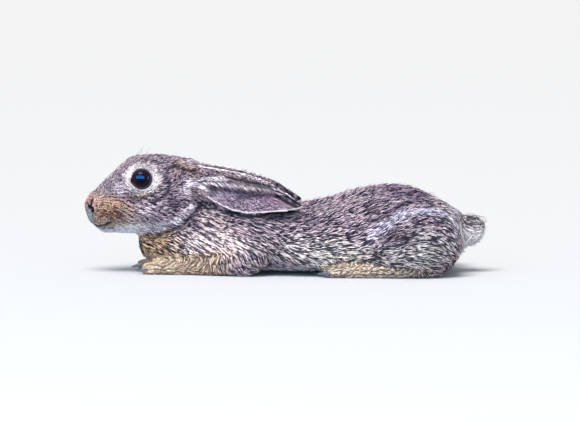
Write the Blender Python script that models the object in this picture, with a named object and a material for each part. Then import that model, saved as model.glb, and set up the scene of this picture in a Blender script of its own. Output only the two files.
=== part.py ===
"""A cottontail rabbit crouched flat with its ears laid back, life size, as a still museum model.

Frame: +Z is up and the floor is z = 0. The rabbit faces -X, so its left side is towards -Y.
The body is modelled whole, from lofts and ellipsoids blended into one form out to the tips of
the coat. Thin cuts then part it into the head, neck, trunk, tail and legs. The ears, eyes and
claws are made on their own and let into it. Sizes here are in millimetres, and MM turns them
into Blender's metres as each mesh is made.
"""

import math

import bmesh
import bpy
import numpy as np
from mathutils import Euler, Matrix, Vector

MM = 0.001

# The whole animal
GAP = 0.3  # left between two solids that touch
BELLY_CLEARANCE = 1.5  # the legs carry the body this far above the floor
BLEND_VOXEL = 1.0
BLEND_SMOOTHING = 16
BODY_TRIANGLES = 2440

# Cross-sections along the body: x, top, bottom, half width, height of the widest place
HEAD = (
    (-140.2, 50.0, 45.5, 3.2, 47.5),
    (-138.2, 53.8, 38.5, 6.8, 46.0),
    (-132.0, 58.8, 32.0, 10.0, 44.0),
    (-125.0, 66.4, 28.4, 12.4, 43.0),
    (-115.0, 75.6, 27.4, 15.0, 46.0),
    (-106.0, 82.3, 27.2, 17.8, 51.0),
    (-98.0, 83.0, 28.4, 19.6, 54.0),
    (-86.0, 83.2, 32.6, 21.0, 54.0),
    (-74.0, 81.4, 37.0, 20.6, 54.0),
    (-62.0, 79.0, 40.0, 19.0, 54.0),
    (-52.0, 69.0, 42.0, 15.0, 54.0),
)
TRUNK = (
    (-103.5, 24.5, 17.5, 5.0, 21.0),
    (-100.5, 28.5, 12.5, 10.5, 20.0),
    (-92.0, 33.0, 8.0, 17.0, 20.0),
    (-80.0, 43.0, 5.0, 22.5, 22.0),
    (-66.0, 61.0, 3.5, 26.0, 25.0),
    (-54.0, 66.0, 2.5, 28.5, 27.0),
    (-40.0, 61.5, 2.0, 31.0, 27.0),
    (-24.0, 56.0, 2.0, 33.5, 26.0),
    (-6.0, 51.0, 2.0, 38.0, 25.0),
    (10.0, 49.0, 2.0, 42.0, 24.0),
    (30.0, 52.8, 2.0, 46.0, 24.0),
    (50.0, 58.8, 2.0, 49.0, 24.0),
    (75.0, 61.8, 2.0, 50.5, 24.0),
    (90.0, 60.0, 2.0, 48.0, 24.0),
    (100.0, 55.5, 2.5, 45.5, 24.0),
    (112.0, 49.5, 4.0, 38.0, 24.0),
    (122.0, 43.0, 8.0, 25.0, 25.0),
    (127.0, 36.0, 15.0, 9.0, 26.0),
)
LOFT_RINGS = 44
LOFT_SIDES = 28
HEAD_SQUARENESS = (2.15, 2.3)  # of the upper and the lower half of each cross-section
TRUNK_SQUARENESS = (2.0, 2.7)

# Rounded masses on each side: centre (y outward), radii, tilt about Y in degrees
CHEEK = ((-81.5, 11.8, 49.0), (21.0, 12.4, 16.5), 0.0)
WHISKER_PAD = ((-123.5, 6.2, 41.8), (11.5, 8.6, 10.0), 12.0)
EAR_ROOT = ((-65.0, 13.0, 66.5), (13.5, 9.8, 12.0), 20.0)
SHOULDER = ((-20.0, 27.0, 26.0), (25.0, 14.0, 20.5), 0.0)
THIGH = ((91.0, 36.0, 22.5), (33.5, 21.0, 28.0), -14.0)
KNEE = ((77.0, 43.0, 20.0), (17.0, 13.5, 19.0), 0.0)
CHIN = ((-123.5, 0.0, 33.5), (9.0, 7.0, 6.6), 0.0)
TAIL = ((129.0, 0.0, 30.0), (11.4, 13.0, 13.4), 0.0)
BALL_SEGMENTS = (16, 9)

# Eyes
EYE_CENTRE = (-99.4, 12.9, 66.4)
EYE_RADIUS = 8.6
LID = 1.5
EYE_OPENING = (15.4, 13.9)
OPENING_SIDES = 20
EYE_LOOKS = (-0.06, 1.0, 0.06)

# Ears: x, then the rolled upper edge, crest, inner wall, valley, flap and lower edge, each (y, z)
EAR = (
    (-64.0, (20.5, 64.5), (14.0, 75.2), (9.0, 68.5), (10.0, 60.5), (15.5, 54.5), (21.5, 60.0)),
    (-57.5, (25.0, 64.8), (14.5, 76.4), (9.4, 69.2), (10.8, 60.0), (18.0, 53.4), (26.0, 59.4)),
    (-49.0, (26.5, 65.2), (15.0, 74.7), (9.8, 68.4), (12.2, 59.2), (20.0, 52.6), (29.0, 52.6)),
    (-37.0, (25.5, 64.2), (15.5, 72.8), (10.8, 66.6), (14.4, 57.6), (22.8, 50.8), (33.0, 46.2)),
    (-24.0, (25.0, 62.8), (17.0, 69.8), (12.8, 63.6), (17.2, 55.6), (26.0, 49.4), (36.4, 44.3)),
    (-11.0, (26.0, 60.0), (19.5, 64.8), (16.2, 60.6), (20.6, 54.6), (29.0, 49.4), (38.0, 45.0)),
    (1.0, (27.6, 55.6), (23.0, 57.4), (21.2, 55.6), (24.6, 52.4), (31.0, 48.8), (37.4, 45.8)),
    (10.0, (29.8, 50.4), (28.0, 51.0), (27.6, 50.3), (29.0, 49.4), (31.6, 48.2), (34.0, 47.2)),
    (12.8, (31.2, 49.3), (30.8, 49.5), (30.6, 49.2), (31.0, 48.9), (31.6, 48.5), (32.2, 48.1)),
)
EAR_THICKNESS = 2.4
EAR_EDGE_THICKNESS = 1.3
EAR_TIP_SHARE = 0.35  # of its thickness, left where the shell narrows to nothing
EAR_FULL_WIDTH = 7.8  # the shell has its whole thickness where it stands at least this high
EAR_BED_GAP = 0.9
EAR_RINGS = 12
EAR_SAMPLES = 8

# Legs: x, y outward, height of the centre, half width, half height
FORELEG = (
    (-12.0, 31.0, 14.0, 6.5, 9.0),
    (-20.0, 32.0, 11.0, 9.5, 11.5),
    (-34.0, 29.5, 8.6, 9.0, 9.6),
    (-52.0, 24.5, 6.9, 7.6, 8.0),
    (-70.0, 19.0, 5.7, 6.4, 6.7),
    (-79.0, 17.2, 5.0, 6.7, 6.2),
    (-88.0, 16.0, 4.6, 7.2, 5.8),
    (-96.0, 15.2, 4.0, 6.8, 5.0),
    (-100.0, 15.0, 3.4, 4.6, 3.8),
)
HIND_FOOT = (
    (110.0, 41.0, 8.0, 5.0, 6.5),
    (105.0, 41.0, 7.4, 7.6, 8.4),
    (90.0, 41.4, 6.2, 8.2, 7.4),
    (66.0, 41.0, 5.2, 8.4, 6.4),
    (44.0, 39.6, 4.6, 8.8, 5.8),
    (32.0, 38.8, 4.0, 8.2, 5.0),
    (27.0, 38.6, 3.4, 5.6, 3.8),
)
LEG_RINGS = 8
LEG_SIDES = 10
RIGHT_FORELEG_AHEAD = 4.0  # the right foreleg lies this much further forward
WRIST = -71.0  # x of the cut between foreleg and forepaw

# Toes, per foot: how many, how far the outer ones lie from the foot's middle, x of their centres
FORE_TOES = (4, 5.4, -93.6)
HIND_TOES = (4, 6.2, 33.0)
TOE_RADII = (6.6, 2.3, 3.4)
TOE_HEIGHT = 2.9
TOE_BACK = 0.055  # an outer toe lies back by this times the square of its distance from the middle

# Claws
CLAW_LENGTH = 7.4
CLAW_RADIUS = 0.95
CLAW_TAPER = 0.78  # of its radius, lost by the tip
CLAW_RISE = 0.5  # its root lies this much above the middle of the toe
CLAW_DROP = 1.1  # its tip lies this much below its root
CLAW_SPLAY = 0.9  # the outer claws point this much sideways
CLAW_OUT = 3.6  # of its length, in front of the toe
CLAW_SIDES = 5

# Cuts, as outlines (x, z) seen from the side
HEAD_CUT = (
    (-160.0, 100.0), (-50.0, 100.0), (-51.5, 78.0), (-58.5, 56.0), (-61.0, 47.0),
    (-70.0, 38.4), (-88.0, 30.2), (-100.0, 26.6), (-118.0, 24.0), (-160.0, 22.0),
)
NECK_CUT = ((-160.0, 100.0), (-36.0, 100.0), (-44.0, -5.0), (-160.0, -5.0))
TAIL_CUT = ((160.0, 100.0), (160.0, -5.0), (119.0, -5.0), (123.5, 45.0), (121.0, 100.0))
CUT_HALF_WIDTH = 90.0
LEG_RIND = 0.9  # a leg takes this much of the coat that lies on it
THIGH_VOXEL = 1.5
THIGH_TRIANGLES = 180
THIGH_SMOOTHING = 2
THIGH_RIND = 1.5

FUR = (0.29, 0.245, 0.235)
COLOURS = {
    "head": FUR,
    "neck": (0.33, 0.26, 0.21),
    "trunk": FUR,
    "tail": (0.62, 0.60, 0.58),
    "ear": (0.42, 0.31, 0.32),
    "eye": (0.012, 0.008, 0.007),
    "foreleg": (0.50, 0.36, 0.23),
    "forepaw": (0.52, 0.40, 0.28),
    "thigh": (0.30, 0.27, 0.26),
    "hindfoot": (0.60, 0.52, 0.42),
    "claw": (0.07, 0.05, 0.045),
}
ROUGHNESS = {"eye": 0.06, "claw": 0.35}
FUR_ROUGHNESS = 0.85
SHARP_ANGLE = 40.0


def clear_scene():
    """Starts from an empty scene."""
    for obj in list(bpy.data.objects):
        bpy.data.objects.remove(obj, do_unlink=True)


def material(kind):
    """The finish of one kind of sub-part, made once."""
    found = bpy.data.materials.get(kind)
    if found:
        return found
    made = bpy.data.materials.new(kind)
    made.use_nodes = True
    shader = made.node_tree.nodes["Principled BSDF"]
    shader.inputs["Base Color"].default_value = (*COLOURS[kind], 1.0)
    shader.inputs["Roughness"].default_value = ROUGHNESS.get(kind, FUR_ROUGHNESS)
    shader.inputs["Metallic"].default_value = 0.0
    return made


def add_object(name, points, faces):
    """An object from points in millimetres."""
    mesh = bpy.data.meshes.new(name)
    mesh.from_pydata([Vector(point) * MM for point in points], [], faces)
    obj = bpy.data.objects.new(name, mesh)
    bpy.context.scene.collection.objects.link(obj)
    return obj


def read_smooth(stations, count):
    """`count` rows read from the smooth curves through the stations, evenly along the first column."""
    table = np.array(stations, float)
    along, values = table[:, 0], table[:, 1:]
    rising = along if along[-1] > along[0] else -along
    slopes = np.gradient(values, rising, axis=0)
    places = np.linspace(rising[0], rising[-1], count)
    low = np.clip(np.searchsorted(rising, places) - 1, 0, len(along) - 2)
    span = (rising[low + 1] - rising[low])[:, None]
    t = (places - rising[low])[:, None] / span
    rows = (
        (2 * t**3 - 3 * t**2 + 1) * values[low]
        + (t**3 - 2 * t**2 + t) * span * slopes[low]
        + (3 * t**2 - 2 * t**3) * values[low + 1]
        + (t**3 - t**2) * span * slopes[low + 1]
    )
    sign = 1.0 if along[-1] > along[0] else -1.0
    return np.column_stack([places * sign, rows])


def loft(name, rings):
    """A closed tube through rings of points, each ring the same length, capped flat at both ends."""
    sides = len(rings[0])
    points = [point for ring in rings for point in ring]
    faces = []
    for i in range(len(rings) - 1):
        for j in range(sides):
            a, b = i * sides + j, i * sides + (j + 1) % sides
            faces.append((a, b, b + sides, a + sides))
    faces.append(tuple(range(sides))[::-1])
    faces.append(tuple(range(len(points) - sides, len(points))))
    obj = add_object(name, points, faces)
    face_outwards(obj)
    return obj


def face_outwards(obj):
    """Turns every face of a closed form to the outside."""
    shape = bmesh.new()
    shape.from_mesh(obj.data)
    bmesh.ops.recalc_face_normals(shape, faces=shape.faces)
    if shape.calc_volume(signed=True) < 0:
        bmesh.ops.reverse_faces(shape, faces=shape.faces)
    shape.to_mesh(obj.data)
    shape.free()


def rounded(value, squareness):
    """A cosine or sine pushed out towards a square as the squareness passes 2."""
    return math.copysign(abs(value) ** (2.0 / squareness), value)


def body_loft(name, stations, squareness):
    """A loft whose cross-sections stand across the body, widest at the height each row gives."""
    above, below = squareness
    rings = []
    for x, top, bottom, width, level in read_smooth(stations, LOFT_RINGS):
        ring = []
        for i in range(LOFT_SIDES):
            turn = math.tau * i / LOFT_SIDES
            up = math.sin(turn)
            power = above if up > 0 else below
            height = (top - level if up > 0 else level - bottom) * rounded(up, power)
            ring.append((x, width * rounded(math.cos(turn), power), level + height))
        rings.append(ring)
    return loft(name, rings)


def leg_loft(name, stations, side, grow=0.0, ahead=0.0):
    """A leg lying along the floor, as a loft of ovals. `grow` makes it that much thicker."""
    rings = []
    rows = read_smooth(stations, LEG_RINGS)
    step = math.copysign(grow, rows[-1][0] - rows[0][0])
    rows[0][0] -= step
    rows[-1][0] += step
    for x, y, z, width, height in rows:
        rings.append([
            (
                x - ahead,
                side * y + (width + grow) * math.cos(math.tau * i / LEG_SIDES),
                z + (height + grow) * math.sin(math.tau * i / LEG_SIDES),
            )
            for i in range(LEG_SIDES)
        ])
    return loft(name, rings)


def ball(name, mass, side=1, grow=0.0, ahead=0.0):
    """An ellipsoid: its centre, radii and tilt, on the side asked for."""
    (x, y, z), radii, tilt = mass
    shape = bmesh.new()
    bmesh.ops.create_uvsphere(shape, u_segments=BALL_SEGMENTS[0], v_segments=BALL_SEGMENTS[1], radius=1.0)
    size = Matrix.Diagonal(Vector([radius + grow for radius in radii])).to_4x4()
    place = Matrix.Translation(Vector((x - ahead, side * y, z)))
    turn = Euler((0.0, math.radians(tilt), 0.0)).to_matrix().to_4x4()
    shape.transform(Matrix.Scale(MM, 4) @ place @ turn @ size)
    mesh = bpy.data.meshes.new(name)
    shape.to_mesh(mesh)
    shape.free()
    obj = bpy.data.objects.new(name, mesh)
    bpy.context.scene.collection.objects.link(obj)
    return obj


def side_prism(name, outline, grow=0.0):
    """A block through the whole width, from an outline (x, z), moved outwards by `grow`."""
    middle = Vector([sum(values) / len(outline) for values in zip(*outline)])
    corners = [Vector(corner) for corner in outline]
    moved = []
    for i, corner in enumerate(corners):
        normal = Vector((0.0, 0.0))
        for other in (corners[i - 1], corners[(i + 1) % len(corners)]):
            edge = other - corner
            across = Vector((edge.y, -edge.x)).normalized()
            away = across if across.dot(corner + edge / 2 - middle) > 0 else -across
            normal += away
        moved.append(corner + normal.normalized() * grow)
    rings = [[(x, y, z) for x, z in moved] for y in (-CUT_HALF_WIDTH, CUT_HALF_WIDTH)]
    return loft(name, rings)


def remove(*objects):
    for obj in objects:
        bpy.data.objects.remove(obj, do_unlink=True)


def settle(obj):
    """Makes what the modifiers give into the object's own mesh."""
    graph = bpy.context.evaluated_depsgraph_get()
    graph.update()
    mesh = bpy.data.meshes.new_from_object(obj.evaluated_get(graph))
    obj.modifiers.clear()
    obj.data = mesh
    return obj


def blend(name, masses, voxel, triangles, smoothing):
    """One smooth closed form from overlapping masses, which it uses up."""
    shape = bmesh.new()
    for mass in masses:
        shape.from_mesh(mass.data)
    mesh = bpy.data.meshes.new(name)
    shape.to_mesh(mesh)
    shape.free()
    remove(*masses)
    obj = bpy.data.objects.new(name, mesh)
    bpy.context.scene.collection.objects.link(obj)
    joined = obj.modifiers.new("joined", "REMESH")
    joined.mode = "VOXEL"
    joined.voxel_size = voxel * MM
    soft = obj.modifiers.new("soft", "SMOOTH")
    soft.factor = 0.5
    soft.iterations = smoothing
    settle(obj)
    light = obj.modifiers.new("light", "DECIMATE")
    light.ratio = triangles / (2.0 * len(obj.data.polygons))
    return settle(obj)


def boolean(obj, cutter, operation):
    """Cuts with an exact Boolean, and makes it into the mesh at once."""
    step = obj.modifiers.new("step", "BOOLEAN")
    step.operation = operation
    step.solver = "EXACT"
    step.object = cutter
    settle(obj)
    keep_largest_piece(obj)


def keep_largest_piece(obj):
    """Drops the crumbs that a cut grazing the surface leaves."""
    shape = bmesh.new()
    shape.from_mesh(obj.data)
    unseen = set(shape.verts)
    pieces = []
    while unseen:
        front = [unseen.pop()]
        piece = set(front)
        while front:
            for edge in front.pop().link_edges:
                for vert in edge.verts:
                    if vert in unseen:
                        unseen.discard(vert)
                        piece.add(vert)
                        front.append(vert)
        pieces.append(piece)
    pieces.sort(key=len)
    crumbs = [vert for piece in pieces[:-1] for vert in piece]
    bmesh.ops.delete(shape, geom=crumbs, context="VERTS")
    shape.to_mesh(obj.data)
    shape.free()


def part_off(body, name, kind, make_cutter, rind=0.0):
    """Cuts a sub-part from the body: `make_cutter(grow)` gives the space that it takes."""
    piece = bpy.data.objects.new(name, body.data.copy())
    bpy.context.scene.collection.objects.link(piece)
    inner, outer = make_cutter(rind), make_cutter(rind + GAP)
    boolean(piece, inner, "INTERSECT")
    boolean(body, outer, "DIFFERENCE")
    remove(inner, outer)
    finish_node(piece, kind)
    return piece


def finish_node(obj, kind):
    """Gives a sub-part its finish and its smooth shading."""
    obj.data.name = obj.name
    obj.data.materials.clear()
    obj.data.materials.append(material(kind))
    obj.data.shade_smooth()
    obj.data.set_sharp_from_angle(angle=math.radians(SHARP_ANGLE))


def sides():
    return (("left", -1), ("right", 1))


def foreleg_lead(side):
    return RIGHT_FORELEG_AHEAD if side > 0 else 0.0


def toe_places(toes, foot_y, side, lead):
    """Each toe's x, y and how far it points sideways."""
    count, spread, x = toes
    places = []
    for i in range(count):
        across = spread * (2.0 * i / (count - 1) - 1.0)
        back = TOE_BACK * across * across
        places.append((x - lead + back, side * foot_y + across, across / spread))
    return places


def toe_ball(name, place, grow=0.0):
    x, y, _ = place
    return ball(name, ((x, y, TOE_HEIGHT), TOE_RADII, 0.0), grow=grow)


def claw(name, place, grow=0.0):
    """A tapered, slightly curved claw that leaves the front of its toe and stops above the floor."""
    x, y, outward = place
    front = x - TOE_RADII[0]
    rings = []
    for t in (0.0, 0.5, 1.0):
        along = front + CLAW_LENGTH - CLAW_OUT - CLAW_LENGTH * t - grow * (2 * t - 1)
        radius = CLAW_RADIUS * (1.0 - CLAW_TAPER * t**1.5) + grow
        height = TOE_HEIGHT + CLAW_RISE - CLAW_DROP * t * t
        across = y + CLAW_SPLAY * outward * t
        rings.append([
            (
                along,
                across + radius * math.cos(math.tau * i / CLAW_SIDES),
                height + radius * math.sin(math.tau * i / CLAW_SIDES),
            )
            for i in range(CLAW_SIDES)
        ])
    return loft(name, rings)


def ear(name, side, grow=0.0):
    """A rolled shell of even thickness, thinner at its edges. `grow` makes it thicker all round."""
    flat = [(x, *[value for point in points for value in point]) for x, *points in EAR]
    rings = []
    for row in read_smooth(flat, EAR_RINGS):
        x, controls = row[0], row[1:].reshape(-1, 2)
        steps = np.arange(len(controls))
        fold = read_smooth(np.column_stack([steps, controls]), EAR_SAMPLES)[:, 1:]
        along = np.gradient(fold, axis=0)
        normal = np.column_stack([along[:, 1], -along[:, 0]])
        normal /= np.linalg.norm(normal, axis=1)[:, None]
        edge = np.abs(np.linspace(-1, 1, EAR_SAMPLES)) ** 4
        height = float(np.ptp(controls[:, 1]))
        narrow = min(1.0, EAR_TIP_SHARE + (1.0 - EAR_TIP_SHARE) * height / EAR_FULL_WIDTH)
        half = (EAR_THICKNESS + (EAR_EDGE_THICKNESS - EAR_THICKNESS) * edge) * narrow / 2
        half = half[:, None] + grow
        ends = fold.copy()
        ends[0] -= along[0] / np.linalg.norm(along[0]) * grow
        ends[-1] += along[-1] / np.linalg.norm(along[-1]) * grow
        ring = np.concatenate([ends + normal * half, (ends - normal * half)[::-1]])
        rings.append([(x, side * y, z) for y, z in ring])
    if grow:
        rings[0] = [(x - grow, y, z) for x, y, z in rings[0]]
        rings[-1] = [(x + grow, y, z) for x, y, z in rings[-1]]
    return loft(name, rings)


def eye_ball(name, side, grow=0.0):
    return ball(name, (EYE_CENTRE, (EYE_RADIUS,) * 3, 0.0), side, grow)


def eye_opening(name, side):
    """The oval tunnel through the lids, from the eye's centre outward."""
    centre = Vector((EYE_CENTRE[0], side * EYE_CENTRE[1], EYE_CENTRE[2]))
    looks = Vector((EYE_LOOKS[0], side * EYE_LOOKS[1], EYE_LOOKS[2])).normalized()
    ahead = Vector((0.0, 0.0, 1.0)).cross(looks).normalized()
    up = looks.cross(ahead)
    rings = []
    for depth in (0.0, 3.0 * EYE_RADIUS):
        rings.append([
            centre
            + looks * depth
            + ahead * (EYE_OPENING[0] / 2 * math.cos(math.tau * i / OPENING_SIDES))
            + up * (EYE_OPENING[1] / 2 * math.sin(math.tau * i / OPENING_SIDES))
            for i in range(OPENING_SIDES)
        ])
    return loft(name, rings)


def whole_body():
    """The animal in one piece, without its ears, eyes and claws."""
    masses = [
        body_loft("head_form", HEAD, HEAD_SQUARENESS),
        body_loft("trunk_form", TRUNK, TRUNK_SQUARENESS),
        ball("chin", CHIN),
        ball("tail_form", TAIL),
    ]
    for _, side in sides():
        for mass in (CHEEK, WHISKER_PAD, EAR_ROOT, SHOULDER, THIGH, KNEE):
            masses.append(ball("mass", mass, side))
        masses.append(ball("lids", (EYE_CENTRE, (EYE_RADIUS + GAP + LID,) * 3, 0.0), side))
        masses.append(leg_loft("leg", FORELEG, side, ahead=foreleg_lead(side)))
        masses.append(leg_loft("leg", HIND_FOOT, side))
        for place in fore_toes(side) + hind_toes(side):
            masses.append(toe_ball("toe", place))
    body = blend("body", masses, BLEND_VOXEL, BODY_TRIANGLES, BLEND_SMOOTHING)
    trim_below(body, 0.0)
    return body


def trim_below(body, height):
    """Cuts the underside flat at this height above the floor."""
    outline = ((-200.0, height), (200.0, height), (200.0, -50.0), (-200.0, -50.0))
    space = side_prism("below", outline)
    boolean(body, space, "DIFFERENCE")
    remove(space)


def fore_toes(side):
    return toe_places(FORE_TOES, FORELEG[-1][1], side, foreleg_lead(side))


def hind_toes(side):
    return toe_places(HIND_TOES, HIND_FOOT[-1][1], side, 0.0)


def add_eyes(body):
    """Opens a socket behind each pair of lids, and sets an eye in it."""
    for word, side in sides():
        socket, opening = eye_ball("socket", side, GAP), eye_opening("opening", side)
        boolean(body, opening, "DIFFERENCE")
        boolean(body, socket, "DIFFERENCE")
        remove(socket, opening)
        finish_node(eye_ball(f"eye_{word}", side), "eye")


def add_ears(body):
    """Lays each ear along the neck, in a bed cut to its own shape."""
    for word, side in sides():
        bed = ear("bed", side, EAR_BED_GAP)
        boolean(body, bed, "DIFFERENCE")
        remove(bed)
        finish_node(ear(f"ear_{word}", side), "ear")


def add_claws(body):
    """Lets a claw into the front of every toe."""
    for word, side in sides():
        for foot, places in (("fore", fore_toes(side)), ("hind", hind_toes(side))):
            for number, place in enumerate(places, 1):
                bed = claw("bed", place, GAP)
                boolean(body, bed, "DIFFERENCE")
                remove(bed)
                finish_node(claw(f"claw_{foot}_{word}_{number}", place), "claw")


def thigh_space(side, grow):
    """The space of one thigh and knee, moved outwards by `grow`."""
    masses = [ball("mass", mass, side, THIGH_RIND) for mass in (THIGH, KNEE)]
    space = blend("space", masses, THIGH_VOXEL, THIGH_TRIANGLES, THIGH_SMOOTHING)
    wider = space.modifiers.new("wider", "DISPLACE")
    wider.mid_level = 0.0
    wider.strength = grow * MM
    return settle(space)


def part_body(body):
    """Parts the blended form into its sub-parts: feet and legs first, then the cuts across."""
    for word, side in sides():
        lead = foreleg_lead(side)
        part_off(
            body, f"hindfoot_{word}", "hindfoot",
            lambda grow: leg_loft("space", HIND_FOOT, side, grow), LEG_RIND,
        )
        foreleg = part_off(
            body, f"foreleg_{word}", "foreleg",
            lambda grow: leg_loft("space", FORELEG, side, grow, lead), LEG_RIND,
        )
        wrist = WRIST - lead
        paw_cut = ((-160.0, 50.0), (wrist, 50.0), (wrist, -50.0), (-160.0, -50.0))
        part_off(
            foreleg, f"forepaw_{word}", "forepaw",
            lambda grow: side_prism("space", paw_cut, grow),
        )
        part_off(body, f"thigh_{word}", "thigh", lambda grow: thigh_space(side, grow))
    trim_below(body, BELLY_CLEARANCE)
    part_off(body, "head", "head", lambda grow: side_prism("space", HEAD_CUT, grow))
    part_off(body, "tail", "tail", lambda grow: side_prism("space", TAIL_CUT, grow))
    part_off(body, "neck", "neck", lambda grow: side_prism("space", NECK_CUT, grow))
    body.name = "trunk"
    finish_node(body, "trunk")


def centre_on_origin():
    """Puts the middle of the whole animal over the origin, with its soles at z = 0."""
    nodes = [obj for obj in bpy.data.objects if obj.type == "MESH"]
    corners = np.array([corner for obj in nodes for corner in obj.bound_box])
    low, high = corners.min(axis=0), corners.max(axis=0)
    shift = Matrix.Translation((-(low[0] + high[0]) / 2, -(low[1] + high[1]) / 2, -low[2]))
    for obj in nodes:
        obj.data.transform(shift)


clear_scene()
rabbit = whole_body()
add_eyes(rabbit)
add_ears(rabbit)
add_claws(rabbit)
part_body(rabbit)
centre_on_origin()
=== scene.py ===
import math

import bmesh
import bpy
import numpy as np
from mathutils import Matrix, Vector
from mathutils.bvhtree import BVHTree


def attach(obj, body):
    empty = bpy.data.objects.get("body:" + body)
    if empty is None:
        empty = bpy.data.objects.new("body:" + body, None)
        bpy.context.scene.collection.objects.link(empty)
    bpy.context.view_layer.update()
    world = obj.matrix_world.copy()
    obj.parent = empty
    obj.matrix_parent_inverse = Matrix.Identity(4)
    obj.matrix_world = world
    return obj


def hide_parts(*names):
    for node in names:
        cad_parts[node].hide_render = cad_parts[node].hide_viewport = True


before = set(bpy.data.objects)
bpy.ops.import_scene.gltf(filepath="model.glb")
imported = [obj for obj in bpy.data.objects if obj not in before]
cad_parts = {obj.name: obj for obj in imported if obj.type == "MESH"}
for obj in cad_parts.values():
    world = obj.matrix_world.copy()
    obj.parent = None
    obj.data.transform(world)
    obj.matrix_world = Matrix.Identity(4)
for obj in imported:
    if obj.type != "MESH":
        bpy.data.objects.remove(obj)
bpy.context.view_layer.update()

# ------------------------------------------------------------------ hide: form
# The hide is one skin drawn over the whole rabbit, from the lips to the tail, so no seam shows.
# Its form is cast from the flesh parts, their joints closed, then sanded smooth and set back by
# the depth of the coat that will grow on it.
MM = 0.001  # sizes here are in millimetres; the rabbit faces -x, and its left side is towards -y
HIDE_GRAIN = 1.0
JOINT_CLOSING = 0.5
WELD = 0.01
SANDING_BLEND = 6
FLESH = sorted(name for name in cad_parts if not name.startswith(("eye", "claw")))
KINDS = ("head", "neck", "trunk", "tail", "ear", "foreleg", "forepaw", "thigh", "hindfoot", "lid")
HEAD, NECK, TRUNK, TAIL, EAR, FORELEG, FOREPAW, THIGH, HINDFOOT, LID = range(len(KINDS))
# How many rounds of sanding each kind of part is given
SANDING = {HEAD: 14, NECK: 40, TRUNK: 46, TAIL: 30, EAR: 5, FORELEG: 36, FOREPAW: 9,
           THIGH: 40, HINDFOOT: 14}


def read(things, what, width, kind=np.float32):
    """One property of all a mesh's points, edges or corners, as rows."""
    found = np.empty(len(things) * width, kind)
    things.foreach_get(what, found)
    return found.reshape(-1, width)


def unit(vectors):
    """The same directions, each one long."""
    return vectors / np.maximum(np.linalg.norm(vectors, axis=-1, keepdims=True), 1e-9)


def eased(value, start, end):
    """0 up to the start and 1 from the end on, with a smooth rise between them."""
    share = np.clip((value - start) / (end - start), 0, 1)
    return share * share * (3 - 2 * share)


def spread(values, pairs, rounds, share=0.5):
    """Evens values out over a mesh: each point moves part of the way to its neighbours' mean."""
    ends = np.concatenate([pairs[:, 0], pairs[:, 1]])
    others = np.concatenate([pairs[:, 1], pairs[:, 0]])
    count = np.maximum(np.bincount(ends, minlength=len(values)), 1)
    values = values.reshape(len(values), -1).copy()
    for _ in range(rounds):
        for column in range(values.shape[1]):
            mean = np.bincount(ends, values[others, column], len(values)) / count
            values[:, column] += share * (mean - values[:, column])
    return values


def placed(name, data):
    """A mesh, lamp or camera put in the scene under this name."""
    made = bpy.data.objects.new(name, data)
    bpy.context.scene.collection.objects.link(made)
    return made


def cast_form():
    """The flesh parts, thickened until their joints close, as one skin of small squares."""
    joined = bmesh.new()
    for name in FLESH:
        joined.from_mesh(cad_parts[name].data)
    bmesh.ops.remove_doubles(joined, verts=joined.verts, dist=WELD * MM)
    joined.normal_update()
    for vert in joined.verts:
        vert.co += vert.normal * JOINT_CLOSING * MM
    cast = bpy.data.meshes.new("cast")
    joined.to_mesh(cast)
    joined.free()
    block = placed("cast", cast)
    remesh = block.modifiers.new("grain", "REMESH")
    remesh.mode = "VOXEL"
    remesh.voxel_size = HIDE_GRAIN * MM
    graph = bpy.context.evaluated_depsgraph_get()
    fine = bpy.data.meshes.new_from_object(block.evaluated_get(graph))
    bpy.data.objects.remove(block)
    return fine


def flesh_faces():
    """A search over the faces of all the flesh parts, and the kind of part of each face."""
    corners, faces, kinds = [], [], []
    for name in FLESH:
        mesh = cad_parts[name].data
        start = len(corners)
        corners += [tuple(vert.co) for vert in mesh.vertices]
        faces += [[start + index for index in face.vertices] for face in mesh.polygons]
        kinds += [KINDS.index(name.split("_")[0])] * len(mesh.polygons)
    return BVHTree.FromPolygons(corners, faces), np.array(kinds)


nearest_flesh, face_kinds = flesh_faces()


def part_kinds(places):
    """The kind of part that lies nearest to each place."""
    return np.array([face_kinds[nearest_flesh.find_nearest(Vector(place * MM))[2]] for place in places])


fine = cast_form()
points = read(fine.vertices, "co", 3).astype(float) / MM
pairs = read(fine.edges, "vertices", 2, np.int32)
kind = part_kinds(points)

rounds_wanted = spread(np.array([SANDING[k] for k in kind], float), pairs, SANDING_BLEND)[:, 0]
for step in range(0, max(SANDING.values()), 2):
    points = spread(points, pairs, 2, 0.5 * (rounds_wanted > step))

# ------------------------------------------------------------------ hide: lids
# A lid is a rolled fold of bare dark skin that lies on the eyeball, with a notch at the tear duct
# in its front corner. The fold runs out under the fur of the brow and cheek.
EYE_CENTRE = (-99.4, 12.9, 66.4)
EYE_RADIUS = 8.6
EYE_LOOKS = (-0.06, 1.0, 0.06)
EYE_OPENING = (43.0, 41.5)  # degrees either way from where the eye looks: along the head, up it
EYE_OPENING_BACK = 5.0  # degrees that the opening lies towards the ear
TEAR_NOTCH = (196.0, 9.0, 13.0)  # its turn round the eye, its depth and its width, in degrees
# The fold's section: degrees beyond the edge of the opening, and height over the eyeball
LID_FOLD = ((-4.0, -0.5), (-0.8, 0.1), (0.4, 0.42), (1.8, 0.68), (4.0, 0.9), (5.6, 1.0), (6.4, 1.03),
            (7.4, 1.06), (10.0, 1.14), (13.0, 1.26), (17.0, 1.36), (22.0, 1.4), (28.0, 1.25), (33.0, 0.7),
            (37.0, -0.4))
LID_SIDES = 120
BARE_LID = 6.6  # degrees of bare skin beyond the edge


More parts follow.
